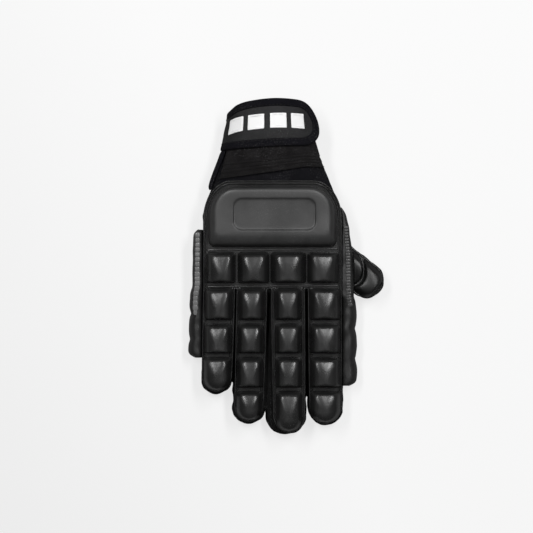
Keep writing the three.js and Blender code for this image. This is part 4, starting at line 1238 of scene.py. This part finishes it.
# %% The side seam
def edge_path(piece, height):
    """The open edge of a cut piece at a height, as one ordered line from the wrist and back to it."""
    made = bmesh.new()
    made.from_mesh(piece.data)
    rim = [e for e in made.edges if e.is_boundary and all(abs(v.co.z / MM - height) < 0.02 for v in e.verts)]
    links = {}
    for edge in rim:
        a, b = edge.verts
        links.setdefault(a, []).append(b)
        links.setdefault(b, []).append(a)
    ends = [v for v, near in links.items() if len(near) == 1]
    start = max(ends, key=lambda v: -v.co.x) if ends else next(iter(links))
    line, seen, here = [], set(), start
    while here is not None:
        line.append(here.co / MM)
        seen.add(here)
        here = next((v for v in links[here] if v not in seen), None)
    made.free()
    return line


seam_edge = [tuple(p) for p in edge_path(seam_source, SEAM_HEIGHT)]
seam_line = [Vector(p) for p in spread_even(seam_edge, 1.6, False)]
bpy.data.objects.remove(seam_source)
settle(tube("side_seam", seam_line, 0.75, 8), [], TAPE)
stitch_rise = Vector((0, 0, 1.9))
above = [p + stitch_rise for p in seam_line]
below = [p - stitch_rise for p in seam_line]
seam_stitches = grow_bars("side_seam_stitches", [above, below], THREAD, 3.0, 2.1, 0.7, 0.7, seed=4)
settle(seam_stitches, [], THREAD)
print("side seam", round(steps_along(seam_line)[-1]), "mm long")

# %% [markdown]
# ## The cuff
# A neoprene tube faced with jersey narrows from the hand to the wrist. It is one loft, out along the
# outside and back along the inside, so the mouth stays open and the wall has its real thickness. At the
# wrist's two sides the mouth is cut back under the strap. Every piece on the cuff, the patch, tape and
# strap, is placed by how far round the wrist it is.

# %% Places round the cuff
CUFF_WALL = 3
MOUTH_RIM = 4.5


@lru_cache(maxsize=None)
def girth_at(y):
    outline = trunk_section(y, 12, 6)
    start = ((outline[0][0] + outline[-1][0]) / 2, outline[0][1])
    line = [start] + outline + [start]
    lengths = [math.dist(a, b) for a, b in zip(line, line[1:])]
    return line, lengths, sum(lengths)


def girth_point(y, along):
    line, lengths, total = girth_at(y)
    rest = (along % 1) * total
    k = 0
    while k < len(lengths) - 1 and rest > lengths[k]:
        rest -= lengths[k]
        k += 1
    t = rest / lengths[k]
    return Vector((mix(line[k][0], line[k + 1][0], t), y, mix(line[k][1], line[k + 1][1], t)))


def cuff_frame(y, along, lift):
    """A point lifted off the cuff, the way on round it, and the girth there."""
    y = round(y, 3)
    on = (girth_point(y, along + 0.012) - girth_point(y, along - 0.012)).normalized()
    out = Vector((-on.z, 0, on.x))
    return girth_point(y, along) + out * lift, on, girth_at(y)[2]


def on_cuff(y, along, lift):
    return cuff_frame(y, along, lift)[0]


# %% Cuff and mouth binding
def mouth_drop(along):
    """How far the mouth is cut back at the wrist's two sides, under the strap."""
    drop = 0
    for at, half, depth in MOUTH_DROPS:
        drop += depth * math.cos(math.pi / 2 * clamp(abs(along - at) / half)) ** 2
    return drop


def cuff_tube(around=96, along=44):
    low, high = HAND_LENGTH + 0.15, REACH - MOUTH_RIM

    def ring(part, lift, crease):
        found = []
        for k in range(around):
            share = (k + 0.5) / around
            y = mix(low, high, part) - mouth_drop(share) * part * part
            fold = noise.noise(Vector((share * 9, y * 0.09, 2))) * 0.8
            fold += noise.noise(Vector((share * 20, y * 0.3, 7))) * 0.35
            point = on_cuff(y, share, lift + fold * crease)
            found.append((point.x, point.y, max(point.z, 0)))
        return found

    parts = [k / along for k in range(along)]
    end = [0.99, 0.997, 1]
    outer = [ring(part, 0, 0.6 * smooth(part * 13) * smooth((1 - part) * 13)) for part in parts + end]
    inner = [ring(part, -CUFF_WALL, 0.3) for part in parts[::4] + end][::-1]
    return loft("cuff_tube", outer + inner, "loop")


def mouth_tape(around=96):
    low, half = REACH - MOUTH_RIM + CLEARANCE, CUFF_WALL / 2 + 0.9
    width = REACH - low
    rings = []
    for k in range(around):
        ring = []
        for n in range(14):
            a = math.tau * n / 14
            across = math.copysign(abs(math.cos(a)) ** 0.7, math.cos(a))
            out = math.copysign(abs(math.sin(a)) ** 0.8, math.sin(a))
            share = (k + 0.5) / around
            y = low + width * (0.5 + 0.5 * across) - mouth_drop(share)
            point = on_cuff(y, share, out * half - CUFF_WALL / 2)
            ring.append((point.x, point.y, max(point.z, 0)))
        rings.append(ring)
    return loft("mouth_tape", rings, "loop")


cuff = settle(subdivide(cuff_tube()), ["cuff"], CUFF)
mouth = settle(subdivide(mouth_tape()), ["mouth_binding"], TAPE)
rim_line = [on_cuff(REACH - MOUTH_RIM + 1.2 - mouth_drop(k / 90), k / 90, 0.75) for k in range(91)]
rim_line = [(x, y, max(z, 0.4)) for x, y, z in rim_line]
mouth_stitches = grow_bars("mouth_stitches", [rim_line], THREAD, 3.2, 2.3, 0.6, 0.6, seed=6)
settle(mouth_stitches, [], THREAD)

# %% [markdown]
# A patch of soft loop fabric on the back of the cuff holds the strap. Two narrow folds are stitched
# slanting across it, and two rows of zigzag stitches follow its lower edge. It is a thin sheet laid on
# the cuff and lifted a little at that free edge.

# %% Loop patch
PATCH_FROM = 0.3125
PATCH_TO = 0.7031
PATCH_LOW = 84.5
PATCH_SLANT = 12
PATCH_HIGH = 126
PATCH_THICKNESS = 1.2
FOLDS = (0.13, 0.28)


def patch_low(along):
    share = (along - PATCH_FROM) / (PATCH_TO - PATCH_FROM)
    return PATCH_LOW + PATCH_SLANT * share - 2.4 * smooth((share - 0.8) / 0.2)


def patch_point(along, share, up):
    low = patch_low(along)
    y = mix(low, PATCH_HIGH, share)
    fold = sum(math.exp(-((share - at) / 0.016) ** 2) - 0.45 * math.exp(-((share - at - 0.03) / 0.012) ** 2)
               - 0.45 * math.exp(-((share - at + 0.03) / 0.012) ** 2) for at in FOLDS)
    slack = noise.noise(Vector((along * 22, share * 5, 1))) * 0.5
    lifted = 0.7 * smooth((0.05 - share) / 0.05)
    return on_cuff(y, along, CLEARANCE + 0.2 + up + fold * 0.75 + slack + lifted)


def loop_patch(around=90, along=72):
    rings = []
    for k in range(around + 1):
        place = mix(PATCH_FROM, PATCH_TO, k / around)
        shares = [n / along for n in range(along + 1)]
        over = [patch_point(place, share, PATCH_THICKNESS) for share in shares]
        under = [patch_point(place, share, 0) for share in shares[::4]][::-1]
        rings.append(over + under)
    return loft("loop_patch_cloth", rings)


def zigzag(middle, swing, count=84):
    """The line of a row of zigzag stitches that follows the patch's lower edge."""
    line = []
    for k in range(count + 1):
        along = mix(PATCH_FROM + 0.008, PATCH_TO - 0.008, k / count)
        line.append(patch_point(along, middle + swing * (1 if k % 2 else -1), PATCH_THICKNESS + 0.1))
    return line


patch = settle(loop_patch(), ["loop_patch"], LOOP)
for row, middle in enumerate((0.045, 0.2)):
    settle(tube(f"patch_zigzag_{row}", zigzag(middle, 0.018), 0.26, 6), [], THREAD)
patch_width = (PATCH_TO - PATCH_FROM) * girth_at(105)[2]
fold_lines = [[patch_point(mix(PATCH_FROM, PATCH_TO, k / 60), at + side * 0.022, PATCH_THICKNESS + 0.05)
               for k in range(2, 59)] for at in FOLDS for side in (-1, 1)]
patch_stitches = grow_bars("patch_stitches", fold_lines, THREAD, 2.2, 1.5, 0.45, 0.45, seed=9)
settle(patch_stitches, [], THREAD)

# %% [markdown]
# ## The closing strap
# The strap wraps from a seam on the little-finger side over the back of the wrist, and its rounded end
# stands clear of the cuff. A padded tape runs along one edge, round the end and back along the other.

# %% Strap places
STRAP_LIFT = PATCH_THICKNESS + 2 * CLEARANCE
STRAP_WIDTH = 39
STRAP_MIDDLE = REACH - 16
STRAP_SEAM = 0.21
STRAP_HOLD = 0.645
STRAP_TIP = 0.733
STRAP_END = 18
TAPE_WIDTH = 6.4
TAPE_THICKNESS = 3.6
SEWN_SHARE = 0.6
STRAP_ROWS = {
    "at": (0, 0.158, 0.257, 0.38, 0.6, 0.84, 1),
    "slide": (-0.218, -0.179, -0.105, -0.056, -0.012, -0.03, -0.085),
    "spread": (0.744, 0.8, 0.908, 0.964, 0.98, 0.93, 0.89),
}
STRAP_GIRTH = girth_at(STRAP_MIDDLE)[2]


def strap_point(along, y, lift):
    held = min(along, STRAP_HOLD)
    place, on, total = cuff_frame(y, held, STRAP_LIFT + lift)
    return place + on * (along - held) * total


def strap_edges(along, margin):
    at = (along - STRAP_SEAM) / (STRAP_TIP - STRAP_SEAM)
    middle = STRAP_MIDDLE + read(STRAP_ROWS, "slide", at) * STRAP_WIDTH
    left = (STRAP_TIP - along) * STRAP_GIRTH - margin
    beyond = clamp(1 - left / (STRAP_END - margin))
    spread = read(STRAP_ROWS, "spread", at) * STRAP_WIDTH / 2
    half = (spread - margin) * math.sqrt(max(1 - beyond * beyond, 0))
    return middle - half, middle + half


def strap_places(margin, spacing=2.2):
    last = STRAP_TIP - margin / STRAP_GIRTH
    round_from = STRAP_TIP - STRAP_END / STRAP_GIRTH
    count = math.ceil((round_from - STRAP_SEAM) * STRAP_GIRTH / spacing)
    straight = [mix(STRAP_SEAM, round_from, k / count) for k in range(count)]
    turns = (0, 12, 24, 36, 47, 57, 66, 74, 81, 86.5)
    return straight + [mix(round_from, last, math.sin(math.radians(a))) for a in turns]


# %% Strap face
def strap_face(columns=14):
    margin = TAPE_WIDTH - 1.2
    rings = []
    for along in strap_places(margin):
        low, high = strap_edges(along, margin)
        shares = [n / columns for n in range(columns + 1)]
        over, under = [], []
        for share in shares:
            puff = 0.35 * (1 - (2 * share - 1) ** 2) + noise.noise(Vector((along * 25, share * 3, 4))) * 0.3
            over.append(strap_point(along, mix(low, high, share), 2.2 + puff))
            under.append(strap_point(along, mix(low, high, share), 0.5))
        rings.append(over + under[::-1])
    return loft("strap_cloth", rings)


face = settle(strap_face(), ["closing_strap"], FACE)


# %% Strap tape
def tape_point(k, side, across, up, outer, inner):
    from_y = strap_edges(outer[k], 0)[side]
    to_y = strap_edges(inner[k], TAPE_WIDTH)[side]
    thick = TAPE_THICKNESS * mix(SEWN_SHARE, 1, smooth((outer[k] - STRAP_SEAM - 0.02) / 0.12))
    return strap_point(mix(outer[k], inner[k], across), mix(from_y, to_y, across), up * thick)


def strap_tape(sides=16):
    outer, inner = strap_places(0), strap_places(TAPE_WIDTH)
    shape = []
    for n in range(sides):
        a = math.tau * n / sides
        across = 0.5 - 0.5 * math.copysign(abs(math.cos(a)) ** 0.65, math.cos(a))
        up = 0.5 + 0.5 * math.copysign(abs(math.sin(a)) ** 0.8, math.sin(a))
        shape.append((across, up))

    def ring(k, side):
        pucker = 1 + 0.1 * noise.noise(Vector((k * 0.7, side * 5, 0)))
        return [tape_point(k, side, across, up * pucker, outer, inner) for across, up in shape]

    line = [ring(k, 1) for k in range(len(outer))] + [ring(k, 0) for k in reversed(range(len(outer)))]
    rows = [[tape_point(k, side, 0.84, 0.97, outer, inner) for k in range(len(outer))] for side in (1, 0)]
    return loft("strap_tape", line), [rows[0] + rows[1][::-1]]


tape, tape_rows = strap_tape()
settle(subdivide(tape), ["strap_binding"], TAPE)
strap_stitches = grow_bars("strap_stitches", tape_rows, THREAD, 2.9, 2.1, 0.6, 0.6, seed=12)
settle(strap_stitches, [], THREAD)

# %% [markdown]
# Four plain white squares are printed in thick rubber on the strap's face. A short padded tape covers the
# cuff's seam from the strap down to the hand.

# %% White squares and edge tape
SQUARE = 11.8
SQUARE_RAISE = 1.3
SQUARE_SHARES = ((0.3095, 0.3769), (0.398, 0.4689), (0.4956, 0.5692), (0.5892, 0.6475))
TILE_FORM = {
    "rise": (-0.6, 0.55, 0.9, 1.0, 1.0),
    "side": (0, 0, 0.025, 0.07, 0.3),
    "near": (0, 0, 0.025, 0.07, 0.3),
    "far": (0, 0, 0.025, 0.07, 0.3),
    "bend": (0, 0, 0, 0, 0),
}


def white_square(index):
    start, end = SQUARE_SHARES[index]
    half = (end - start) / 2 * STRAP_GIRTH

    def place(x, y, h):
        along = (start + end) / 2 + x / STRAP_GIRTH
        return strap_point(along, sum(strap_edges(along, 0)) / 2 + SQUARE_RAISE + y, 2.65 + h)

    return moulded_pad(f"white_square_{index + 1}", 0, half, SQUARE / 2, -SQUARE / 2, 0.5, 0.5, 0.6,
                       TILE_FORM, place, index + 40, rough=0)


for index in range(4):
    settle(white_square(index), [f"strap_square_{index + 1}"], PRINT)


EDGE_TAPE = {"along": 0.274, "length": 34, "overlap": 2.5, "height": 3.3}


def edge_tape(sides=14, steps=18):
    along = EDGE_TAPE["along"]
    start = strap_edges(along, 0)[0] + EDGE_TAPE["overlap"]
    rings = []
    for k in range(steps + 1):
        share = k / steps
        y = start - share * EDGE_TAPE["length"]
        total = girth_at(round(y, 3))[2]
        round_end = math.sqrt(clamp(1 - max(2 * share - 1, 0) ** 8, 0.12, 1))
        swell = EDGE_TAPE["height"] * round_end * mix(0.25, 1, smooth(share * 8))
        ring = []
        for n in range(sides):
            a = math.tau * n / sides
            out = math.copysign(abs(math.cos(a)) ** 0.7, math.cos(a))
            lift = 0.45 + swell * (0.5 + 0.5 * math.sin(a))
            ring.append(on_cuff(y, along + out * TAPE_WIDTH * 0.72 / total, lift))
        rings.append(ring)
    return loft("cuff_tape", rings)


side_tape = settle(subdivide(edge_tape()), ["cuff_edge_tape"], TAPE)

# %% [markdown]
# ## The side guards
# A padded roll is sewn down each outer side of the hand. It is stuffed, so a cloth simulation suits it:
# the face against the hand and the stitched notches are held, pressure swells the rest, and the swelling
# is capped so that the roll keeps to its place. The stitching between lobes then shows by itself.

# %% Guard sections
GUARD_PROFILE = {
    "at": (0, 1, 2, 3, 4, 5, 6, 7, 8, 9, 10, 11),
    "out": (0, 0, 0.16, 0.42, 0.66, 0.88, 1, 0.97, 0.76, 0.42, 0.12, 0),
    "up": (0.22, 0.74, 0.93, 1, 0.95, 0.76, 0.48, 0.22, 0.05, 0, 0.06, 0.22),
}
GUARD_FLOOR = 4
CREST_RISE = 1
LITTLE_GUARD = {
    "side": -1, "start": 44.5, "end": -58.4, "thickness": 10.4, "bulge": 0.19,
    "rows": {"at": (0, 0.04, 0.4, 1), "thick": (0.74, 0.84, 0.9, 0.92)},
    "notches": (0.456, 0.655, 0.858, 1),
}
INDEX_GUARD = {
    "side": 1, "start": 62, "end": -81, "thickness": 12, "bulge": 0.19,
    "rows": {"at": (0, 0.042, 0.1, 0.17, 0.25, 0.5, 1), "thick": (0.1, 0.34, 0.49, 0.6, 0.75, 0.85, 0.88)},
    "notches": (0.507, 0.676, 0.848, 1),
}
THUMB_SHEET = 2
OVER_THUMB = THUMB_HEIGHT + THUMB_SHEET + 2 * CLEARANCE
CLEAR_OF_THUMB = in_thumb(THUMB_REACH - THUMB_WIDTH / 2, -THUMB_WIDTH / 2 - 0.4, 0).y - CLEARANCE


def outer_side(side, y):
    if y >= 0:
        narrow = read(TRUNK, "narrow", y / REACH)
        return side * mix(HAND_WIDTH, MOUTH_WIDTH, narrow) / 2
    middle, half = finger_at("little" if side < 0 else "index", y)
    return middle + side * (half - SHEET_OVERHANG * 0.9)


def guard_thickness(guard, at):
    notches = guard["notches"]
    k = len(notches) - 2
    while k > 0 and at < notches[k]:
        k -= 1
    t = clamp((at - notches[k]) / (notches[k + 1] - notches[k]))
    lobe = guard["bulge"] * math.sqrt(math.sin(math.pi * t))
    return guard["thickness"] * (read(guard["rows"], "thick", at) + lobe)


def guard_floor(guard, y):
    if guard["side"] < 0:
        return GUARD_FLOOR
    return mix(GUARD_FLOOR, OVER_THUMB + 0.3, smooth((y - CLEAR_OF_THUMB + 5) / 5))


def guard_point(guard, y, at, swell=1.0):
    share = (guard["start"] - y) / (guard["start"] - guard["end"])
    inner = outer_side(guard["side"], y) + guard["side"] * CLEARANCE
    low, high = guard_floor(guard, y), back_at(inner, y) + CREST_RISE
    thick = guard_thickness(guard, share) * swell
    out, up = read(GUARD_PROFILE, "out", at), read(GUARD_PROFILE, "up", at)
    height = (high - low) * (0.5 + 0.5 * swell)
    return (inner + guard["side"] * clamp(out, 0, 1) * thick, y, (low + high) / 2 + (up - 0.5) * height)


def guard_roll(name, guard, spacing=1.7, around=30):
    length = guard["start"] - guard["end"]
    count = round(length / spacing)
    rings = []
    for k in range(count + 1):
        share = k / count
        near_end = min(share, 1 - share) * length
        swell = mix(0.6, 1, math.sqrt(clamp(near_end / 4)))
        y = guard["start"] - share * length
        rings.append([guard_point(guard, y, 11 * n / around, swell) for n in range(around)])
    return loft(name, rings)


# %% Stuffing by simulation
def stuff(piece, held, pressure=3.0, cap=1.4, frames=20):
    """Swells a piece by cloth pressure. held(co) says which points are sewn down."""
    start = [v.co.copy() for v in piece.data.vertices]
    sewn = piece.vertex_groups.new(name="sewn")
    sewn.add([v.index for v in piece.data.vertices if held(v.co / MM)], 1.0, "REPLACE")
    modifier = piece.modifiers.new("stuffing", "CLOTH")
    modifier.settings.quality = 6
    modifier.settings.mass = 0.15
    modifier.settings.tension_stiffness = 12
    modifier.settings.compression_stiffness = 12
    modifier.settings.bending_stiffness = 0.6
    modifier.settings.use_pressure = True
    modifier.settings.uniform_pressure_force = pressure
    modifier.settings.vertex_group_mass = "sewn"
    modifier.settings.effector_weights.gravity = 0
    scene = bpy.context.scene
    for number in range(1, frames + 1):
        scene.frame_set(number)
    swollen = piece.evaluated_get(bpy.context.evaluated_depsgraph_get()).data
    moves = [after.co - before for after, before in zip(swollen.vertices, start)]
    piece.modifiers.remove(modifier)
    piece.vertex_groups.remove(sewn)
    scene.frame_set(1)
    furthest = max(move.length for move in moves) / MM
    for vertex, before, move in zip(piece.data.vertices, start, moves):
        reach = move.length / MM
        vertex.co = before + move * (cap * math.tanh(reach / cap) / max(reach, 1e-6))
    print(f"{piece.name}: swelled by {furthest:.1f} mm, kept to {cap} mm")
    return piece


def guard_is_sewn(guard):
    length = guard["start"] - guard["end"]
    notch_lines = [guard["start"] - at * length for at in guard["notches"]]

    def held(p):
        inner = outer_side(guard["side"], p.y) + guard["side"] * CLEARANCE
        return abs(p.x - inner) < 1.2 or any(abs(p.y - y) < 0.9 for y in notch_lines)

    return held


guards = {}
for name, guard in (("little", LITTLE_GUARD), ("index", INDEX_GUARD)):
    roll = stuff(guard_roll(f"{name}_guard_roll", guard), guard_is_sewn(guard))
    guards[name] = roll
    ruffle(roll, 0.45, 7, 21)
    subdivide(roll)
    settle(roll, [f"{name}_side_guard"], GUARD)

# %% [markdown]
# Each guard's crest is gathered into short round ribs. They are bars along a path again, with a larger
# and squarer bar, set on the stuffed roll by dropping each path point straight down on to it. The ribs
# beside the little finger are coarse, those beside the index finger fine. Both are paler than the guard
# as a painted highlight, the little finger's much paler, standing in for the light from the left.

# %% Guard ribs
RIB_LENGTH = 1.18  # of the pitch, so that neighbouring ribs touch
RIBS = {
    "little": {"from": 40, "to": -22, "pitch": 3.9, "across": 4.4, "high": 4.2, "fade": 0.7, "out": 0.57},
    "index": {"from": 46, "to": -16, "pitch": 2.4, "across": 4.2, "high": 3.4, "fade": 0.7, "out": 0.6},
}


def drop_on(piece, x, y, start=80):
    hit, place, _, _ = piece.ray_cast(Vector((x, y, start)) * MM, Vector((0, 0, -1)))
    return place.z / MM if hit else None


for name, guard in (("little", LITTLE_GUARD), ("index", INDEX_GUARD)):
    rib = RIBS[name]
    path = []
    for k in range(121):
        y = mix(rib["from"], rib["to"], k / 120)
        share = (guard["start"] - y) / (guard["start"] - guard["end"])
        inner = outer_side(guard["side"], y) + guard["side"] * CLEARANCE
        x = inner + guard["side"] * rib["out"] * guard_thickness(guard, share)
        z = drop_on(guards[name], x, y)
        if z is not None:
            path.append(Vector((x, y, z - 0.1)))
    # The little finger's ribs take the stronger painted highlight.
    finish = RIB_SKIN_BRIGHT_HIGHLIGHT if name == "little" else RIB_SKIN_DIM_HIGHLIGHT
    length = rib["pitch"] * RIB_LENGTH
    ribs = grow_bars(f"{name}_guard_gathers", [path], finish, rib["pitch"], length, rib["across"],
                     rib["high"], fade=rib["fade"], seed=31, squarer=True)
    settle(ribs, [f"{name}_guard_ribs"], finish)

# %% [markdown]
# ## The thumb's armour
# The thumb has a smaller moulded sheet with the same rolled edge, a short pad near its root and a domed
# pad over its tip. The sheet's outline is the thumb's own, cut off where it meets the hand.

# %% Thumb sheet
THUMB_HAND_SIDE = HAND_WIDTH / 2 + CLEARANCE
THUMB_SHEET_HALF = THUMB_WIDTH / 2 + 0.4
THUMB_ROLL = {
    "in": (0.9, 0.25, 0, 0, 0.15, 0.45, 0.85, 1.2, 1.5, 1.8, 2.15, 2.5, 2.9, 3.4),
    "up": (0, 0, 0.3, 1.3, 1.8, 2.15, 2.2, 1.85, 1.45, 1.7, 2.1, 2.15, 1.85, 1.7),
}


def under_thumb(x, y):
    spot = Vector((x, y, 0)) - THUMB_ROOT
    along, across = spot.dot(THUMB_AXIS), spot.dot(THUMB_SIDE)
    droop = 1.3 * smooth((along - 52) / 26) + 0.5 * (across / THUMB_SHEET_HALF) ** 2
    return THUMB_HEIGHT + CLEARANCE - droop


def thumb_outline():
    straight = THUMB_REACH - THUMB_SHEET_HALF
    turns = [math.radians(90 - a) for a in range(0, 181, 6)]
    line = [(20, THUMB_SHEET_HALF), (straight, THUMB_SHEET_HALF)]
    line += [(straight + THUMB_SHEET_HALF * math.cos(a), THUMB_SHEET_HALF * math.sin(a)) for a in turns]
    line += [(straight, -THUMB_SHEET_HALF), (20, -THUMB_SHEET_HALF)]
    spots = [in_thumb(along, across, 0) for along, across in line]
    kept = []
    for a, b in zip(spots, spots[1:] + spots[:1]):
        if a.x >= THUMB_HAND_SIDE:
            kept.append((a.x, a.y))
        if (a.x - THUMB_HAND_SIDE) * (b.x - THUMB_HAND_SIDE) < 0:
            t = (THUMB_HAND_SIDE - a.x) / (b.x - a.x)
            kept.append((THUMB_HAND_SIDE, mix(a.y, b.y, t)))
    return spread_even([kept[k] for k in range(len(kept)) if math.dist(kept[k], kept[k - 1]) > 0.05], 0.8)


THUMB_FOLD = {"along": 56.5, "fall": 12.5, "shift": 3, "width": 15.5, "half": 12.2}


def fold_at(across):
    """How far along the thumb the fold between its two pads runs."""
    aside = (across + THUMB_FOLD["shift"]) / THUMB_FOLD["width"]
    return THUMB_FOLD["along"] - THUMB_FOLD["fall"] * aside ** 2


def thumb_fold():
    found = []
    for k in range(41):
        across = mix(THUMB_FOLD["half"], -THUMB_FOLD["half"], k / 40)
        spot = in_thumb(fold_at(across), across, 0)
        found.append((spot.x, spot.y, under_thumb(spot.x, spot.y) + THUMB_ROLL["up"][-1] - 0.1))
    return found


thumb_sheet = relief_sheet("thumb_armour", thumb_outline(), under_thumb, THUMB_ROLL, 2.2)
settle(thumb_sheet, ["thumb_sheet"], SHEET)
# The thumb's welt takes the paler bead skin, a painted highlight.
settle(subdivide(tube("thumb_welt", thumb_fold(), 0.7)), [], BEAD)

# %% Thumb pads
GUARD_OUT = THUMB_HAND_SIDE + INDEX_GUARD["thickness"] * read(INDEX_GUARD["rows"], "thick", 0.507) + CLEARANCE


def on_thumb(root, tip):
    """Sets points on the thumb's sheet, bent to follow the fold, and less so towards root and tip."""
    def place(x, y, h):
        fold = fold_at(0)
        share = (-y - root) / (fold - root) if -y < fold else (tip + y) / (tip - fold)
        along = -y + (fold_at(x) - fold) * clamp(share)
        spot = in_thumb(along, x, 0)
        return in_thumb(along, x, under_thumb(spot.x, spot.y) + THUMB_ROLL["up"][-1] + h)
    return place


def trim(piece, place, way):
    """Cuts off what lies beyond a plane and closes the cut."""
    made = bmesh.new()
    made.from_mesh(piece.data)
    bmesh.ops.bisect_plane(made, geom=made.verts[:] + made.edges[:] + made.faces[:], dist=1e-7,
                           plane_co=Vector(place) * MM, plane_no=way, clear_outer=True)
    rim = [edge for edge in made.edges if edge.is_boundary]
    if rim:
        filled = bmesh.ops.triangle_fill(made, edges=rim, use_beauty=True)
        for face in filled["geom"]:
            if isinstance(face, bmesh.types.BMFace):
                face.smooth = False
    made.to_mesh(piece.data)
    made.free()
    return piece


def thumb_pads():
    """The base pad, which sinks towards the side guard, and the tip pad, broader than a finger's."""
    fold, root, end = fold_at(0), THUMB_REACH * 0.36, THUMB_REACH - 3
    place = on_thumb(root, end)

    def sloped(x, y, h):
        return place(x, y, h * mix(0.3, 1, smooth((x + 11) / 18)))

    base = moulded_pad("thumb_block_base", 0, 10.8, -root, -(fold - 1.1), 3, 3.4, 7.4, PAD_FORM, sloped, 51)
    broad = dict(TIP_FORM)
    for column, factor in (("bend", 0.45), ("near", 1.15), ("far", 0.6)):
        broad[column] = tuple(factor * share for share in TIP_FORM[column])
    tip = moulded_pad("thumb_block_tip", 0, 11.2, -(fold + 1.0), -end, 3, 8, 7.6, broad, place, 52)
    return base, tip


base_pad, tip_pad = thumb_pads()
# Both thumb pads take the darker skin, a painted shade.
for pad, solid in ((base_pad, "thumb_pad_base"), (tip_pad, "thumb_pad_tip")):
    trim(pad, (GUARD_OUT, 0, 0), (-1, 0, 0))
    settle(pad, [solid], THUMB_PAD_SHADED_SKIN)

# %% Print the sizes and finish
low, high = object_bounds()
proud = [round(max(a - b, c - d) / MM, 1) for a, b, c, d in zip(cad_low, low, high, cad_high)]
print("proud of the box by", proud, "mm")
